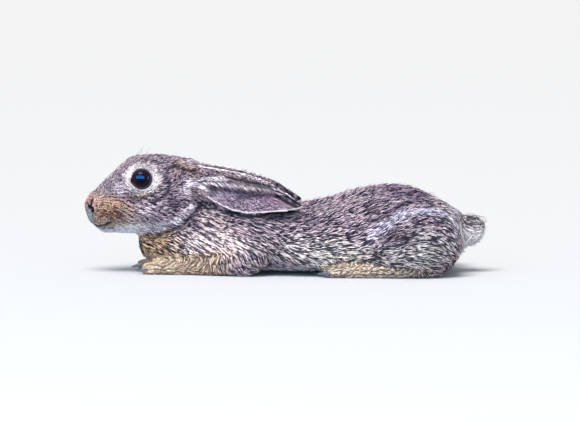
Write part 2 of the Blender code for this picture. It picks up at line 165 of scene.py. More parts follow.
def eye_frame(side):
    """The eye's centre and the directions that it looks in, back to the ear and up, on this side."""
    centre = np.array(EYE_CENTRE) * (1, side, 1)
    looks = unit(np.array(EYE_LOOKS) * (1, side, 1))
    up = unit(np.array((0, 0, 1.0)) - looks * looks[2])
    back = unit(np.array((1.0, 0, 0)) - looks * looks[0] - up * up[0])
    return centre, looks, back, up


def lid_angle(turn):
    """How far from where the eye looks its opening's edge is, in degrees, for each turn round it."""
    across, down = EYE_OPENING
    edge = 1 / np.sqrt((np.cos(turn) / across) ** 2 + (np.sin(turn) / down) ** 2)
    edge += EYE_OPENING_BACK * np.cos(turn)
    notch_at, notch_depth, notch_width = TEAR_NOTCH
    away = (np.degrees(turn) - notch_at + 180) % 360 - 180
    return edge + notch_depth * np.exp(-((away / notch_width) ** 2))


def eye_angles(places, side):
    """Each place's angle beyond the lid's edge, its turn round the eye and its distance out."""
    centre, looks, back, up = eye_frame(side)
    out = places - centre
    distance = np.linalg.norm(out, axis=1)
    turn = np.arctan2(out @ up, out @ back)
    angle = np.degrees(np.arccos(np.clip(out @ looks / np.maximum(distance, 1e-6), -1, 1)))
    return angle - lid_angle(turn), turn, distance


def lid(side):
    """One lid's corners and its faces."""
    centre, looks, back, up = eye_frame(side)
    turn = np.arange(LID_SIDES) * 2 * np.pi / LID_SIDES
    edge = lid_angle(turn)
    corners = []
    for beyond, lift in LID_FOLD:
        angle = np.radians(edge + beyond)[:, None]
        around = np.cos(turn)[:, None] * back + np.sin(turn)[:, None] * up
        corners.append(centre + (EYE_RADIUS + lift) * (np.cos(angle) * looks + np.sin(angle) * around))
    faces = []
    for ring in range(len(LID_FOLD) - 1):
        for k in range(LID_SIDES):
            after = (k + 1) % LID_SIDES
            face = [ring * LID_SIDES + k, ring * LID_SIDES + after,
                    (ring + 1) * LID_SIDES + after, (ring + 1) * LID_SIDES + k]
            faces.append(face if side > 0 else face[::-1])
    return np.concatenate(corners), faces


# ------------------------------------------------------------------ hide: setting back and folds
# The cast is set back by the coat's depth, which is least on the muzzle, lids, ears and feet and
# most on the tail. Folds are pressed in at the nostrils, lip, mouth, jaw and ears, and between toes.
COAT = {
    # part: coat depth, tuft length, tuft width, tufts to a square millimetre
    HEAD: (1.5, 4.4, 0.45, 3.1),
    NECK: (2.6, 7.0, 0.57, 1.9),
    TRUNK: (2.9, 8.0, 0.62, 1.65),
    TAIL: (5.5, 12.0, 0.56, 2.4),
    EAR: (0.6, 3.4, 0.40, 2.5),
    FORELEG: (2.0, 6.0, 0.54, 2.2),
    FOREPAW: (1.0, 3.2, 0.46, 2.8),
    THIGH: (2.7, 7.4, 0.61, 1.75),
    HINDFOOT: (1.3, 4.2, 0.49, 2.4),
    LID: (0.35, 1.5, 0.30, 7.0),
}
MUZZLE_COAT = (0.5, 1.5, 0.30, 7.0)
MUZZLE_ENDS, CHEEK_STARTS = -128.0, -88.0
FINE_FACE = -106.0  # forward of this the hide is twice as fine
LID_REACH = 6.0  # the lid's fold lies within this of the eyeball
COAT_THINS = (55.0, 25.0)  # degrees beyond the opening over which the coat thins towards the lid
DEPTH_BLEND = 10
SOCKET_RIM = (42.0, 28.0)  # degrees beyond the opening where the hide starts to follow the eyeball
SOCKET_GAP = 0.15
SOCKET_RISE = (0.9, 20.0, 40.0)  # its rise off the eyeball, and the degrees where it starts and ends
SOCKET_DEPTH = 4.0
FACE_ROUNDING = 0.4
# The nostrils' dark is painted shade, fading in over these widths of its fold
NOSTRIL_EDGE = (1.25, 0.8)  # where its dark starts and is full, in widths of its fold
FAR_OFF = 99.0  # a distance at which the jaw's fold has no effect
NOSTRIL = (
    # each line's places, how deep it is pressed and how wide
    (((-138, 5, 46.5), (-136, 7, 46), (-134.5, 8.5, 45), (-135, 8.5, 43)), 3.6, 1.6),
    (((-134.5, 7, 51), (-135.5, 7.5, 48.5), (-136, 7, 46.5)), 1.8, 0.9),
)
MOUTH = ((-137, 0, 33.5), (-133.5, 2.5, 34), (-130, 5.5, 33), (-125.5, 10, 34.5), (-120.5, 12, 36.5),
         (-116.5, 12, 36.5), (-112.5, 12, 34.5), (-109.5, 9, 31))
JAW_FOLD = ((-53.5, 20.5, 51.5), (-57.5, 19.5, 49), (-60, 20, 45.5), (-63.5, 20, 42), (-69, 20.5, 36.5),
            (-73, 20, 33), (-81, 16.5, 30), (-89, 12, 27))
LIP_CLEFT = ((-141, 0, 44.5), (-140, 0, 39.5), (-137, 0, 34))
EAR_LOBE = ((-62.5, 21.5, 59), (-59, 22.5, 56.5), (-56, 24, 55))
HOLLOW_FRONT = ((-52.5, 15.5, 57.5), (-47, 16, 57), (-41.5, 16.5, 56.5))
EAR_FOLD = ((-53, 19.5, 53.5), (-45, 17.5, 55.5), (-38, 15.5, 57))
FORE_TOE_GAPS = (13.0, 16.6, 20.2)
HIND_TOE_GAPS = (34.8, 40.0, 45.0)
FOLDS = (
    # fold's line, how deep and how wide; a fold less than nothing deep is a swelling
    *NOSTRIL,
    (LIP_CLEFT, 1.3, 0.7),
    (MOUTH, 1.3, 0.9),
    (JAW_FOLD, 4.2, 2.3),
    (EAR_LOBE, -1.8, 3.0),
    (HOLLOW_FRONT, -3.8, 3.6),
    (EAR_FOLD, 0.9, 0.9),
    *((((-101, y, 3), (-97.5, y, 8.5), (-91, y, 12)), 1.5, 0.9) for y in FORE_TOE_GAPS),
    *((((25, y, 3), (29, y, 8), (37, y, 11)), 1.7, 1.1) for y in HIND_TOE_GAPS),
)


def mirrored(places):
    """Places on the right side, given as their twins on the left, where y counts outwards."""
    return np.abs(places * (0, 1, 0)) + places * (1, 0, 1)


def from_line(places, line):
    """Each place's distance to a line of points."""
    nearest = np.full(len(places), np.inf)
    line = np.array(line, float)
    for start, end in zip(line[:-1], line[1:]):
        along = np.clip((places - start) @ (end - start) / ((end - start) @ (end - start)), 0, 1)
        gap = np.linalg.norm(places - start - along[:, None] * (end - start), axis=1)
        nearest = np.minimum(nearest, gap)
    return nearest


def coat_of(places, kinds):
    """The coat's depth, tuft length, tuft width and tufts to a square millimetre at each place."""
    coat = np.array([COAT[k] for k in kinds])
    toward_cheek = eased(places[:, 0], MUZZLE_ENDS, CHEEK_STARTS)[:, None]
    on_head = (kinds == HEAD)[:, None]
    head = np.array(MUZZLE_COAT) + toward_cheek * (np.array(COAT[HEAD]) - MUZZLE_COAT)
    return np.where(on_head, head, coat)


def redone(mesh, corners):
    """Moves a mesh's points to these places."""
    mesh.vertices.foreach_set("co", (corners * MM).astype(np.float32).ravel())
    mesh.update()


redone(fine, points)
normals = read(fine.vertices, "normal", 3).astype(float)
depth = spread(coat_of(mirrored(points), kind)[:, :1], pairs, DEPTH_BLEND)[:, 0]
for side in (-1, 1):
    beyond, _, out = eye_angles(points, side)
    near = eased(beyond, *COAT_THINS) * (out < EYE_RADIUS + LID_REACH)
    depth += near * (COAT[LID][0] - depth)
points -= normals * (depth + JOINT_CLOSING)[:, None]
for side in (-1, 1):
    centre = eye_frame(side)[0]
    beyond, _, out = eye_angles(points, side)
    under_lid = eased(beyond, *SOCKET_RIM) * (np.abs(out - EYE_RADIUS) < SOCKET_DEPTH)
    rise, rise_starts, rise_ends = SOCKET_RISE
    out_wanted = EYE_RADIUS + SOCKET_GAP + rise * eased(beyond, rise_starts, rise_ends)
    points += (under_lid * (out_wanted - out))[:, None] * unit(points - centre)
redone(fine, points)

face = bmesh.new()
face.from_mesh(fine)
forward = [edge for edge in face.edges if all(vert.co.x < FINE_FACE * MM for vert in edge.verts)]
bmesh.ops.subdivide_edges(face, edges=forward, cuts=1, use_grid_fill=True, smooth=FACE_ROUNDING)
bmesh.ops.triangulate(face, faces=face.faces)
face.to_mesh(fine)
face.free()
points = read(fine.vertices, "co", 3).astype(float) / MM
normals = read(fine.vertices, "normal", 3).astype(float)
nostril_starts, nostril_full = NOSTRIL_EDGE
in_nostril = np.max([eased(from_line(mirrored(points), line), nostril_starts * wide, nostril_full * wide)
                     for line, _, wide in NOSTRIL], 0)
jaw_gap = from_line(mirrored(points), JAW_FOLD)
for line, deep, wide in FOLDS:
    pressed = np.exp(-((from_line(mirrored(points), line) / wide) ** 2))
    points -= normals * (deep * pressed)[:, None]
redone(fine, points)
kind = part_kinds(points)

hide_faces = [list(face.vertices) for face in fine.polygons]
for side in (-1, 1):
    lid_points, lid_faces = lid(side)
    start = len(points)
    points = np.concatenate([points, lid_points])
    kind = np.concatenate([kind, np.full(len(lid_points), LID)])
    in_nostril = np.concatenate([in_nostril, np.zeros(len(lid_points))])
    jaw_gap = np.concatenate([jaw_gap, np.full(len(lid_points), FAR_OFF)])
    hide_faces += [[start + corner for corner in face] for face in lid_faces]
hide_mesh = bpy.data.meshes.new("hide")
hide_mesh.from_pydata((points * MM).tolist(), [], hide_faces)
hide_mesh.validate()
hide_mesh.shade_smooth()
hide_mesh.update()
hide = placed("hide", hide_mesh)

points = read(hide_mesh.vertices, "co", 3).astype(float) / MM
normals = read(hide_mesh.vertices, "normal", 3).astype(float)
pairs = read(hide_mesh.edges, "vertices", 2, np.int32)
twins = mirrored(points)
sides = np.where(points[:, 1] < 0, -1.0, 1.0)

# ------------------------------------------------------------------ hide: markings
# A cottontail's colours: ticked grey-brown back, pale ring round the eye, rusty whisker pads, pale
# jaw, belly and underside of the tail, buff forelegs and pink inner ears. Painted shade darkens the
# nostrils, the mouth, the jaw's crease, the ears' hollows, the chest under the jaw and the coat under
# the ears and above the haunch; painted light brightens each ear's hollow in front and its crest.
# Skin and coat share them.
EAR_UPPER_EDGE = ((-64, 20.5, 64.5), (-57.5, 25, 64.8), (-49, 26.5, 65.2), (-37, 25.5, 64.2),
                  (-24, 25, 62.8), (-11, 26, 60), (1, 27.6, 55.6), (10, 29.8, 50.4), (12.8, 31.2, 49.3))
EAR_LOWER_EDGE = ((-64, 21.5, 60), (-57.5, 26, 59.4), (-49, 29, 52.6), (-37, 33, 46.2),
                  (-24, 36.4, 44.3), (-11, 38, 45), (1, 37.4, 45.8), (10, 34, 47.2), (12.8, 32.2, 48.1))
EAR_CREST = ((-64, 14, 75.2), (-57.5, 14.5, 76.4), (-49, 15, 74.7), (-37, 15.5, 72.8), (-24, 17, 69.8),
             (-11, 19.5, 64.8), (1, 23, 57.4), (10, 28, 51), (12.8, 30.8, 49.5))
EAR_HOLLOW = ((-64, 18, 64), (-57.5, 20, 63.5), (-49, 21, 62.5), (-37, 22, 59.5), (-24, 24.5, 56.8),
              (-11, 28, 54), (1, 30, 51.6), (12.8, 31.4, 48.9))


def paint(red, green, blue):
    """A colour given in everyday 0 to 255 steps, as light."""
    share = np.array((red, green, blue)) / 255
    return np.where(share <= 0.04045, share / 12.92, ((share + 0.055) / 1.055) ** 2.4)


TICKED_GREY = paint(146, 129, 145)
# Where a mark starts and where it is full, in its own reaches, and how ragged its edge is
PATCH_EDGE = (1.4, 0.45)
SPOT_EDGE = (1.1, 0.5)
RAGGED, RAGGED_LENGTH = 0.12, 5.0
PATCHES = (
    # colour, ticking, centre, reach each way
    (paint(148, 131, 147), 0.9, (-100, 0, 84), (22, 18, 10)),
    (paint(152, 138, 153), 0.9, (-124, 0, 60), (15, 14, 11)),
    (paint(158, 141, 158), 1.05, (-86, 20, 48), (24, 14, 15)),
    (paint(162, 130, 116), 1.2, (-121, 12, 44), (17, 12, 11)),
    (paint(150, 112, 94), 1.2, (-121, 13.5, 42.5), (7, 9, 5)),
    (paint(186, 152, 138), 1.0, (-123, 12, 48.5), (8, 9, 4)),
    (paint(190, 158, 151), 0.9, (-133, 5, 51), (8, 10, 5.5)),
    (paint(100, 78, 76), 1.0, (-114.2, 14, 41.5), (4, 8, 4.5)),
    (paint(178, 154, 148), 0.8, (-123, 10, 35.8), (13, 8, 4)),
    (paint(176, 180, 194), 0.4, (-137, 5, 39.5), (3.8, 5, 4.4)),
    (paint(104, 86, 94), 1.0, (-104, 17.5, 53.5), (7, 8, 3.4)),
    (paint(134, 116, 118), 1.0, (-97.5, 18, 55.8), (8, 8, 3)),
    (paint(184, 170, 182), 0.9, (-97, 18, 45.5), (6, 9, 4)),
    (paint(92, 76, 96), 1.0, (-77, 21.5, 49), (6, 9, 2.6)),
    (paint(122, 107, 126), 1.0, (-81, 21.5, 56.5), (5, 9, 5)),
    (paint(238, 224, 240), 0.55, (-64, 21, 61), (9.5, 9, 6)),
    (paint(190, 178, 194), 0.8, (-115, 13, 59), (5, 7, 4)),
    (paint(136, 118, 134), 1.0, (-75, 16, 66.5), (8, 12, 6)),
    (paint(154, 130, 122), 1.2, (-66, 14, 75), (11, 14, 6)),
    (paint(224, 222, 236), 0.2, (-118, 0, 26), (26, 18, 6)),
    (paint(250, 246, 255), 0.2, (-102, 9, 31), (17, 12, 4.8)),
    # Painted shade on the chest under the jaw
    (paint(84, 66, 60), 0.9, (-97, 6, 23), (10, 12, 4)),
    (paint(174, 158, 176), 0.7, (-62, 0, 76), (12, 16, 8)),
    (paint(134, 116, 134), 1.0, (18, 14, 58), (26, 30, 14)),
    (paint(146, 122, 104), 1.1, (-84, 10, 18), (26, 26, 14)),
    (paint(168, 150, 159), 0.9, (-49, 25, 36), (14, 14, 11)),
    (paint(214, 197, 203), 0.8, (-43, 28, 21.5), (34, 17, 10)),
    # Painted shadow on the flank under the ear
    (paint(108, 92, 108), 1.0, (-14, 31, 41), (20, 12, 5.5)),
    (paint(184, 176, 179), 0.9, (22, 45, 14), (46, 14, 15)),
    (paint(225, 220, 224), 0.15, (20, 0, 0), (95, 40, 9)),
    (paint(112, 93, 114), 1.0, (92, 10, 58), (32, 28, 9)),
    (paint(156, 150, 156), 0.9, (92, 50, 20), (24, 14, 14)),
    (paint(110, 94, 112), 1.0, (81, 47, 27), (13, 10, 7)),
    (paint(158, 148, 160), 0.8, (118, 20, 36), (14, 30, 18)),
)
STRIPES = (
    # colour, ticking, line, half width, how crisp its edges are
    (paint(196, 189, 212), 0.6, ((61.5, 46.5, 29.5), (70.5, 45, 36.5), (81, 44, 42), (92.5, 44, 44.5),
                                 (106, 40.5, 43.5), (112.5, 37, 40.5), (117, 32, 35)), 4.2, 0),
    # Painted shade along the haunch's upper edge, above its pale arc
    (paint(96, 80, 104), 0.9, ((66, 42.5, 39), (76.5, 36.5, 46), (88, 29.5, 49.5), (100, 19, 49)),
     1.8, 0.3),
    (paint(212, 203, 217), 0.6, ((-65, 19, 45.5), (-69, 19.5, 42), (-80, 17.5, 36.5), (-87, 12.5, 33.5),
                                 (-93.5, 9.5, 30.5)), 3.2, 0.1),
    # Painted shade in the crease where the head overlaps the neck, darkest near the ear and browner towards
    # the throat
    (paint(20, 14, 20), 0.1, JAW_FOLD[:5], 2.4, 0.9),
    (paint(54, 42, 46), 0.4, JAW_FOLD[4:], 2.3, 0.6),
    # Painted shadow under the ear's root
    (paint(44, 33, 46), 0.3, ((-56, 19.5, 50.5), (-52, 22, 50.5), (-48, 23.5, 49)), 1.3, 1),
    # Painted shadow on the neck and flank under the ear's lower rim
    (paint(30, 23, 32), 0.3, ((-40, 24.5, 45), (-34, 26, 43.5), (-25.5, 33.5, 42.5), (-19, 34, 42.5),
                              (-7, 23.5, 42), (6, 22, 41.5)), 2.2, 0.6),
    # Painted shade in the crease of the mouth
    (paint(60, 46, 44), 0.3, MOUTH[1:7], 1.1, 0.6),
    (paint(74, 60, 78), 0.8, ((-79, 13, 74), (-82, 15, 72.5), (-83.5, 16, 69.5), (-81, 18.5, 62),
                              (-81.5, 20, 58), (-84, 21, 54.5), (-92.5, 20.5, 50.5)), 1.4, 0.6),
    (paint(70, 54, 70), 0.8, ((-79, 13, 74), (-74.5, 14.5, 73.5), (-70.5, 18, 72), (-60.5, 19, 72)),
     1.7, 0.5),
    (paint(96, 80, 100), 0.8, ((-97, 8, 80.5), (-93, 9, 79), (-88.5, 12, 76.5)), 1.2, 0.5),
    (paint(64, 50, 64), 0.4, ((-90.5, 16.5, 70), (-87, 17.5, 70), (-84, 16.5, 69.5)), 0.9, 0.8),
)
PART_COLOURS = {
    # part: colour, ticking, where along the body the colour starts and where it is full
    FORELEG: (paint(190, 166, 150), 0.7, -22, -60),
    FOREPAW: (paint(206, 184, 164), 0.5, 0, -10),
    HINDFOOT: (paint(196, 178, 164), 0.6, 108, 84),
    TAIL: (paint(168, 158, 166), 0.8, 100, 118),
}
WHISKER_SPOT = paint(62, 42, 40)
WHISKER_PADS = (
    ((-131, 10, 47), (-127, 11.5, 48), (-123, 12.5, 47.5), (-118.5, 13.5, 46)),
    ((-130, 12, 44), (-125.5, 13.5, 44), (-121.5, 13.5, 43.5), (-117, 13.5, 42.5)),
    ((-128.5, 12.5, 40.5), (-124, 13.5, 40), (-120, 13, 39)),
)
EYE_RING = paint(250, 239, 245)
RING_TOP = paint(198, 184, 192)
# Degrees round the eye from its back corner, and the pale ring's width there
RING_TURNS = (-180, -140, -90, -40, 0, 40, 90, 140, 180)
RING_WIDTHS = (5.6, 3.8, 0.8, 4.0, 7.0, 5.0, 3.0, 4.8, 5.6)
RING_REACH = (60.0, 10.0)  # it lies within these degrees of the opening and this far from the eyeball
LID_SKIN = paint(14, 9, 10)
LID_EDGE = (BARE_LID + 0.6, BARE_LID - 0.2)  # degrees over which bare skin starts
# Painted shade inside the nostrils' pressed hollows
NOSTRIL_SHADE = paint(18, 9, 9)
TAIL_WHITE = paint(238, 234, 238)
TAIL_TURNS_WHITE = (0.35, -0.15)  # how far its surface faces up where the white starts and is full
EAR_BACK = paint(146, 123, 136)
EAR_TIP_BACK = paint(104, 90, 112)
EAR_INNER_SKIN = paint(162, 132, 158)
EAR_FLAP_HAIR = paint(152, 133, 154)
# Painted shade inside the ear's hollow, under its upper edge and in the fold of its flap
EAR_ROOF_SHADE = paint(104, 82, 104)
EAR_RIM = paint(242, 234, 244)
# Pale crest hair, lightened further as a painted highlight where light falls along the crest
EAR_CREST_PALE_AND_HIGHLIGHT = paint(236, 227, 243)
EAR_BLACK = paint(34, 26, 48)
# Where along the ear a mark starts and where it is full
EAR_TIP = (-24, -4)
EAR_TIP_DARKENS = (-12, 2)
EAR_ROOF_SHADE_ENDS = (0, -20)
EAR_RIM_STARTS = (-55, -51)
EAR_FLAP = (-1, -6)  # how far below the hollow's middle the flap's hair starts and is full
EAR_MARKS = (
    # colour, ticking, line, half width
    # Pale inner skin, brightened further as painted light where the ear's upper edge shades the hollow's
    # front
    (paint(228, 206, 230), 0.5, ((-52.5, 19, 56), (-41, 18.5, 54.5), (-35, 18, 54)), 3.2),
    (paint(232, 220, 234), 0.5, ((-62, 20.5, 64), (-56, 22, 65.5), (-49, 23, 66.5), (-41, 23, 66.5)), 2.4),
    # Painted shadow along the ear just above the fringe's roots
    (paint(66, 52, 68), 0.7, ((-41, 22, 68.5), (-27.5, 23, 65.5), (-15, 23.5, 63), (-10, 24, 61.5)), 1.2),
    # Painted shade in the fold inside the ear's tip
    (paint(58, 42, 38), 0.2, ((-5, 22, 55), (0.5, 26.5, 52), (6, 31, 49), (9, 33, 48), (11.5, 33, 47.5)),
     1.9),
)


def on_curve(places, line):
    """The point of a line along the ear that has each place's x."""
    line = np.array(line, float)
    return np.stack([places[:, 0], *(np.interp(places[:, 0], line[:, 0], line[:, k]) for k in (1, 2))], 1)


def inside_ear(places, facing):
    """1 on the hollow side of the ear and 0 on its back."""
    return eased(np.sum(facing * (on_curve(places, EAR_HOLLOW) - places), axis=1), -0.2, 0.6)


def waves(places, length, seed, count=9):
    """Smooth ups and downs between about -1 and 1, this length apart."""
    draw = np.random.default_rng(seed)
    ways = unit(draw.normal(size=(count, 3))) * draw.uniform(0.6, 1.4, (count, 1)) * 2 * np.pi / length
    return np.sin(places @ ways.T + draw.uniform(0, 2 * np.pi, count)).sum(1) / math.sqrt(count)


def streaks(places, ways, wide, long, seed):
    """Waves this wide that run on for this length along the lie of the coat."""
    steps = np.linspace(-long / 2, long / 2, 9)
    total = sum(waves(places + ways * step, 2 * wide, seed, 24) for step in steps)
    return total / total.std()


def markings(places, facing, kinds):
    """The coat's colour with painted shade and light, and how ticked it is, for places and normals on the
    left.
    """
    colour = np.tile(TICKED_GREY, (len(places), 1))
    ticking = np.ones(len(places))

    def lay(share, tint, ticked):
        colour[:] += share[:, None] * (tint - colour)
        ticking[:] += share * (ticked - ticking)

    ragged = RAGGED * waves(places, RAGGED_LENGTH, 3)
    for tint, ticked, centre, reach in PATCHES:
        away = np.linalg.norm((places - centre) / reach, axis=1) + ragged
        lay(eased(away, *PATCH_EDGE), tint, ticked)
    for tint, ticked, line, half_width, crisp in STRIPES:
        away = from_line(places, line) / half_width + (3 - 2.5 * crisp) * ragged
        lay(eased(away, 1.4 - 0.2 * crisp, 0.3 + 0.4 * crisp), tint, ticked)
    for part, (tint, ticked, start, full) in PART_COLOURS.items():
        share = eased(spread((kinds == part).astype(float), pairs, 12)[:, 0] + ragged, 0.25, 0.75)
        lay(share * eased(places[:, 0] + 40 * ragged, start, full), tint, ticked)
    for pad in WHISKER_PADS:
        spots = np.min([np.linalg.norm(places - spot, axis=1) for spot in pad], axis=0)
        lay(eased(spots, *SPOT_EDGE), WHISKER_SPOT, 0.5)
    under_tail = (kinds == TAIL) * eased(facing[:, 2] + 0.6 * ragged, *TAIL_TURNS_WHITE)
    lay(under_tail, TAIL_WHITE, 0.1)

    beyond, turn, out = eye_angles(places, 1)
    rim = (EYE_RADIUS + 0.9) * np.sin(np.radians(lid_angle(turn) + BARE_LID))
    from_rim = out * np.sin(np.radians(beyond + lid_angle(turn))) - rim
    ring_width = np.interp(np.degrees(turn), RING_TURNS, RING_WIDTHS)
    ring = eased(from_rim + 9 * ragged, ring_width + 2.2, ring_width - 2.4) * (beyond < RING_REACH[0])
    ring *= (out < EYE_RADIUS + RING_REACH[1]) * ((kinds == HEAD) | (kinds == LID))
    lay(ring, EYE_RING, 0.35)
    lay(ring * eased(np.sin(turn), 0.5, 1.0), RING_TOP, 0.5)
    lay((kinds == LID) * eased(beyond, *LID_EDGE), LID_SKIN, 0.0)

    ear = (kinds == EAR).astype(float)
    along = places[:, 0]
    inner = inside_ear(places, facing)
    crest = eased(from_line(places, EAR_CREST) / 3.4 + 1.5 * ragged, 1.5, 0.3)
    lower_edge = from_line(places, EAR_LOWER_EDGE)
    upper_edge = from_line(places, EAR_UPPER_EDGE)
    below = places[:, 2] - on_curve(places, EAR_HOLLOW)[:, 2]
    toward_tip = eased(along, *EAR_TIP)
    lay(ear, EAR_BACK, 1.1)
    lay(ear * eased(along, *EAR_TIP_DARKENS), EAR_TIP_BACK, 0.8)
    # Pale crest hair with a painted highlight
    lay(ear * crest * (1 - toward_tip), EAR_CREST_PALE_AND_HIGHLIGHT, 0.7)
    lay(ear * inner, EAR_INNER_SKIN, 0.6)
    lay(ear * inner * eased(below, *EAR_FLAP), EAR_FLAP_HAIR, 0.8)
    # Painted shade in the hollow under the ear's upper edge, and along the fold of its flap
    roof_shade = eased(upper_edge + 6 * ragged, 7.0, 2.0) * eased(along, *EAR_ROOF_SHADE_ENDS)
    lay(ear * inner * roof_shade, EAR_ROOF_SHADE, 0.6)
    lay(ear * inner * eased(from_line(places, EAR_FOLD) + ragged, 1.3, 0.5), EAR_ROOF_SHADE, 0.4)
    # Pale hair with a painted highlight along the upper edge towards the tip
    lay(ear * toward_tip * eased(upper_edge / 3.4 + 2 * ragged, 1.3, 0.6), EAR_CREST_PALE_AND_HIGHLIGHT, 0.5)
    lay(ear * toward_tip * eased(upper_edge / 1.9 + ragged, 1.2, 0.8), EAR_BLACK, 0.1)
    lay(ear * eased(lower_edge / 1.7 + ragged, 1.2, 0.6) * eased(along, *EAR_RIM_STARTS), EAR_RIM, 0.1)
    for tint, ticked, line, half_width in EAR_MARKS:
        lay(ear * eased(from_line(places, line) / half_width + ragged, 1.3, 0.7), tint, ticked)
    return colour, ticking


mirrored_normals = normals * np.stack([np.ones_like(sides), sides, np.ones_like(sides)], 1)
tone, ticking = markings(twins, mirrored_normals, kind)

# ------------------------------------------------------------------ hide: lie of the coat
# Every hair lies the way the coat is combed: back from the nose, parted round the eye, up behind it
# to the ear, over the shoulder, along the back and round the haunch, and down the legs to the toes.
COMBED = (
    # place, direction, reach
    ((-139, 3, 50), (0.4, 0.1, 0.9), 6), ((-130, 3, 60), (0.75, 0, 0.65), 9),
    ((-115, 4, 75), (0.8, 0, 0.6), 9), ((-100, 4, 82), (1, 0, 0.2), 11),
    ((-80, 4, 82), (1, 0, -0.1), 11), ((-62, 3, 78), (1, 0, -0.25), 10),
    ((-137, 6, 45), (0.5, 0.5, 0.5), 4), ((-136, 5, 37), (0.5, 0.4, -0.75), 4),
    ((-128, 11, 48), (0.95, 0.2, 0.15), 7), ((-128, 11, 38), (0.9, 0.2, -0.4), 7),
    ((-118, 14, 52), (1, 0.2, 0.1), 7), ((-117, 15, 42), (1, 0.1, -0.3), 7),
    ((-125, 5, 29), (1, 0.1, -0.1), 8), ((-105, 12, 28), (1, 0.1, -0.15), 11),
    ((-85, 14, 32), (1, 0.1, -0.2), 11), ((-120, 10, 62), (0.8, 0.1, 0.55), 6),
    ((-113, 15, 65), (0.45, 0.1, 0.9), 4), ((-112, 15, 57), (0.8, 0.1, -0.6), 4),
    ((-107, 15, 75), (0.75, 0, 0.65), 5), ((-98, 15, 78), (1, 0, 0.25), 5),
    ((-89, 16, 74), (0.95, 0, 0.1), 5), ((-88, 18, 66), (1, 0, 0.05), 5),
    ((-90, 20, 58), (0.95, 0, 0.1), 5), ((-101, 20, 54), (1, 0, -0.2), 6),
    ((-80, 17, 70), (0.7, 0, 0.75), 7), ((-71, 18, 69), (0.65, 0, 0.75), 7),
    ((-76, 20, 60), (0.9, 0, 0.35), 8), ((-95, 22, 46), (1, 0, -0.2), 10),
    ((-78, 23, 47), (1, 0, -0.25), 10), ((-68, 22, 40), (0.9, 0, -0.45), 9),
    ((-45, 8, 68), (1, 0, -0.2), 12), ((-45, 28, 46), (0.9, 0.1, -0.3), 10),
    ((-50, 28, 26), (0.85, 0.1, -0.5), 11), ((-75, 14, 16), (0.7, 0.1, -0.6), 12),
    ((-25, 36, 36), (0.85, 0, -0.45), 10), ((-12, 40, 24), (0.85, 0, -0.5), 10),
    ((-22, 34, 14), (0.8, 0, -0.6), 10), ((-20, 6, 64), (1, 0, -0.03), 14),
    ((20, 10, 62), (1, 0, 0), 16), ((55, 12, 62), (1, 0, 0.06), 16),
    ((90, 12, 58), (1, 0, -0.15), 14), ((110, 12, 50), (0.8, 0, -0.5), 12),
    ((120, 14, 38), (0.55, 0, -0.8), 10), ((14, 42, 42), (1, 0, -0.05), 12),
    ((22, 45, 24), (1, 0, 0.1), 12), ((42, 45, 34), (1, 0, 0.25), 11),
    ((42, 44, 14), (1, 0, 0.2), 12), ((62, 46, 30), (0.85, 0, 0.5), 9),
    ((76, 48, 38), (0.95, 0, 0.35), 9), ((95, 48, 42), (1, 0, 0), 9),
    ((110, 44, 36), (0.8, 0, -0.6), 9), ((118, 36, 26), (0.6, 0, -0.8), 9),
    ((117, 3, 42), (1, 0, -0.3), 8), ((120, 7, 34), (0.95, 0.1, -0.35), 8),
    ((78, 52, 20), (0.95, 0, 0.25), 10), ((96, 52, 20), (0.95, 0, -0.35), 9),
    ((68, 50, 8), (1, 0, 0.05), 10), ((0, 10, 2), (1, 0, 0), 30),
)
LEG_LIE = {
    # part: direction, where along the body the leg's own lie starts and where it is full
    FORELEG: ((-1, 0.1, -0.3), -30.0, -62.0),
    FOREPAW: ((-1, 0.1, -0.2), 0.0, -10.0),
    HINDFOOT: ((-1, 0.1, -0.2), 104.0, 84.0),
}
LEG_TOP = {FORELEG: 18.0, FOREPAW: 60.0, HINDFOOT: 15.0}  # above this height a leg's hair hangs down
LEG_HANG, LEG_PARTING = 1.6, 3.0
EAR_BACK_LIE = (0.75, 0.15, -0.62)
EAR_FLAP_LIE = (0.75, 0.4, -0.6)
TAIL_ROOT = (112.0, 0.0, 28.0)
TAIL_SPREAD = (4, 0, 0)
RUMP = (118.0, 0.0, 36.0)
RUMP_REACH = (20.0, 9.0)
RUMP_LONGER = 0.6
FOLD_REACH = (5.0, 1.8)
FOLD_THINNER, FOLD_SHORTER = 0.65, 0.6
LID_COAT_STARTS = (50, 20)
LIE_BLEND, COAT_BLEND = 4, 8


def combed(places):
    """The way the coat is combed at each place on the left side, from the strokes near it."""
    total = np.zeros_like(places)
    for at, way, reach in COMBED:
        gap = np.linalg.norm(places - at, axis=1)
        weight = np.exp(-((gap / (1.7 * reach)) ** 2)) + 1e-4 / (1 + (gap / 40) ** 2)
        total += weight[:, None] * unit(np.array(way, float))
    return unit(total)


lie = combed(twins)
for part, (way, start, full) in LEG_LIE.items():
    leg = (kind == part) * eased(twins[:, 0], start, full)
    lie += leg[:, None] * (np.array(way, float) - lie)
    lie -= (leg * (1 - leg))[:, None] * (0, 0, LEG_PARTING)
    lie[:, 2] -= (kind == part) * LEG_HANG * eased(twins[:, 2], 0.4 * LEG_TOP[part], LEG_TOP[part])
lie = unit(lie)
lie[kind == TAIL] = unit(twins - TAIL_ROOT + TAIL_SPREAD)[kind == TAIL]
inner = inside_ear(twins, mirrored_normals)[:, None]
ear_lie = np.array(EAR_BACK_LIE) + inner * (np.array(EAR_FLAP_LIE) - EAR_BACK_LIE)
lie[kind == EAR] = unit(ear_lie)[kind == EAR]
lie[:, 1] *= sides
lie = spread(lie, pairs, LIE_BLEND)
agreed = np.linalg.norm(lie, axis=1)
lie = unit(lie - normals * np.sum(lie * normals, axis=1, keepdims=True))

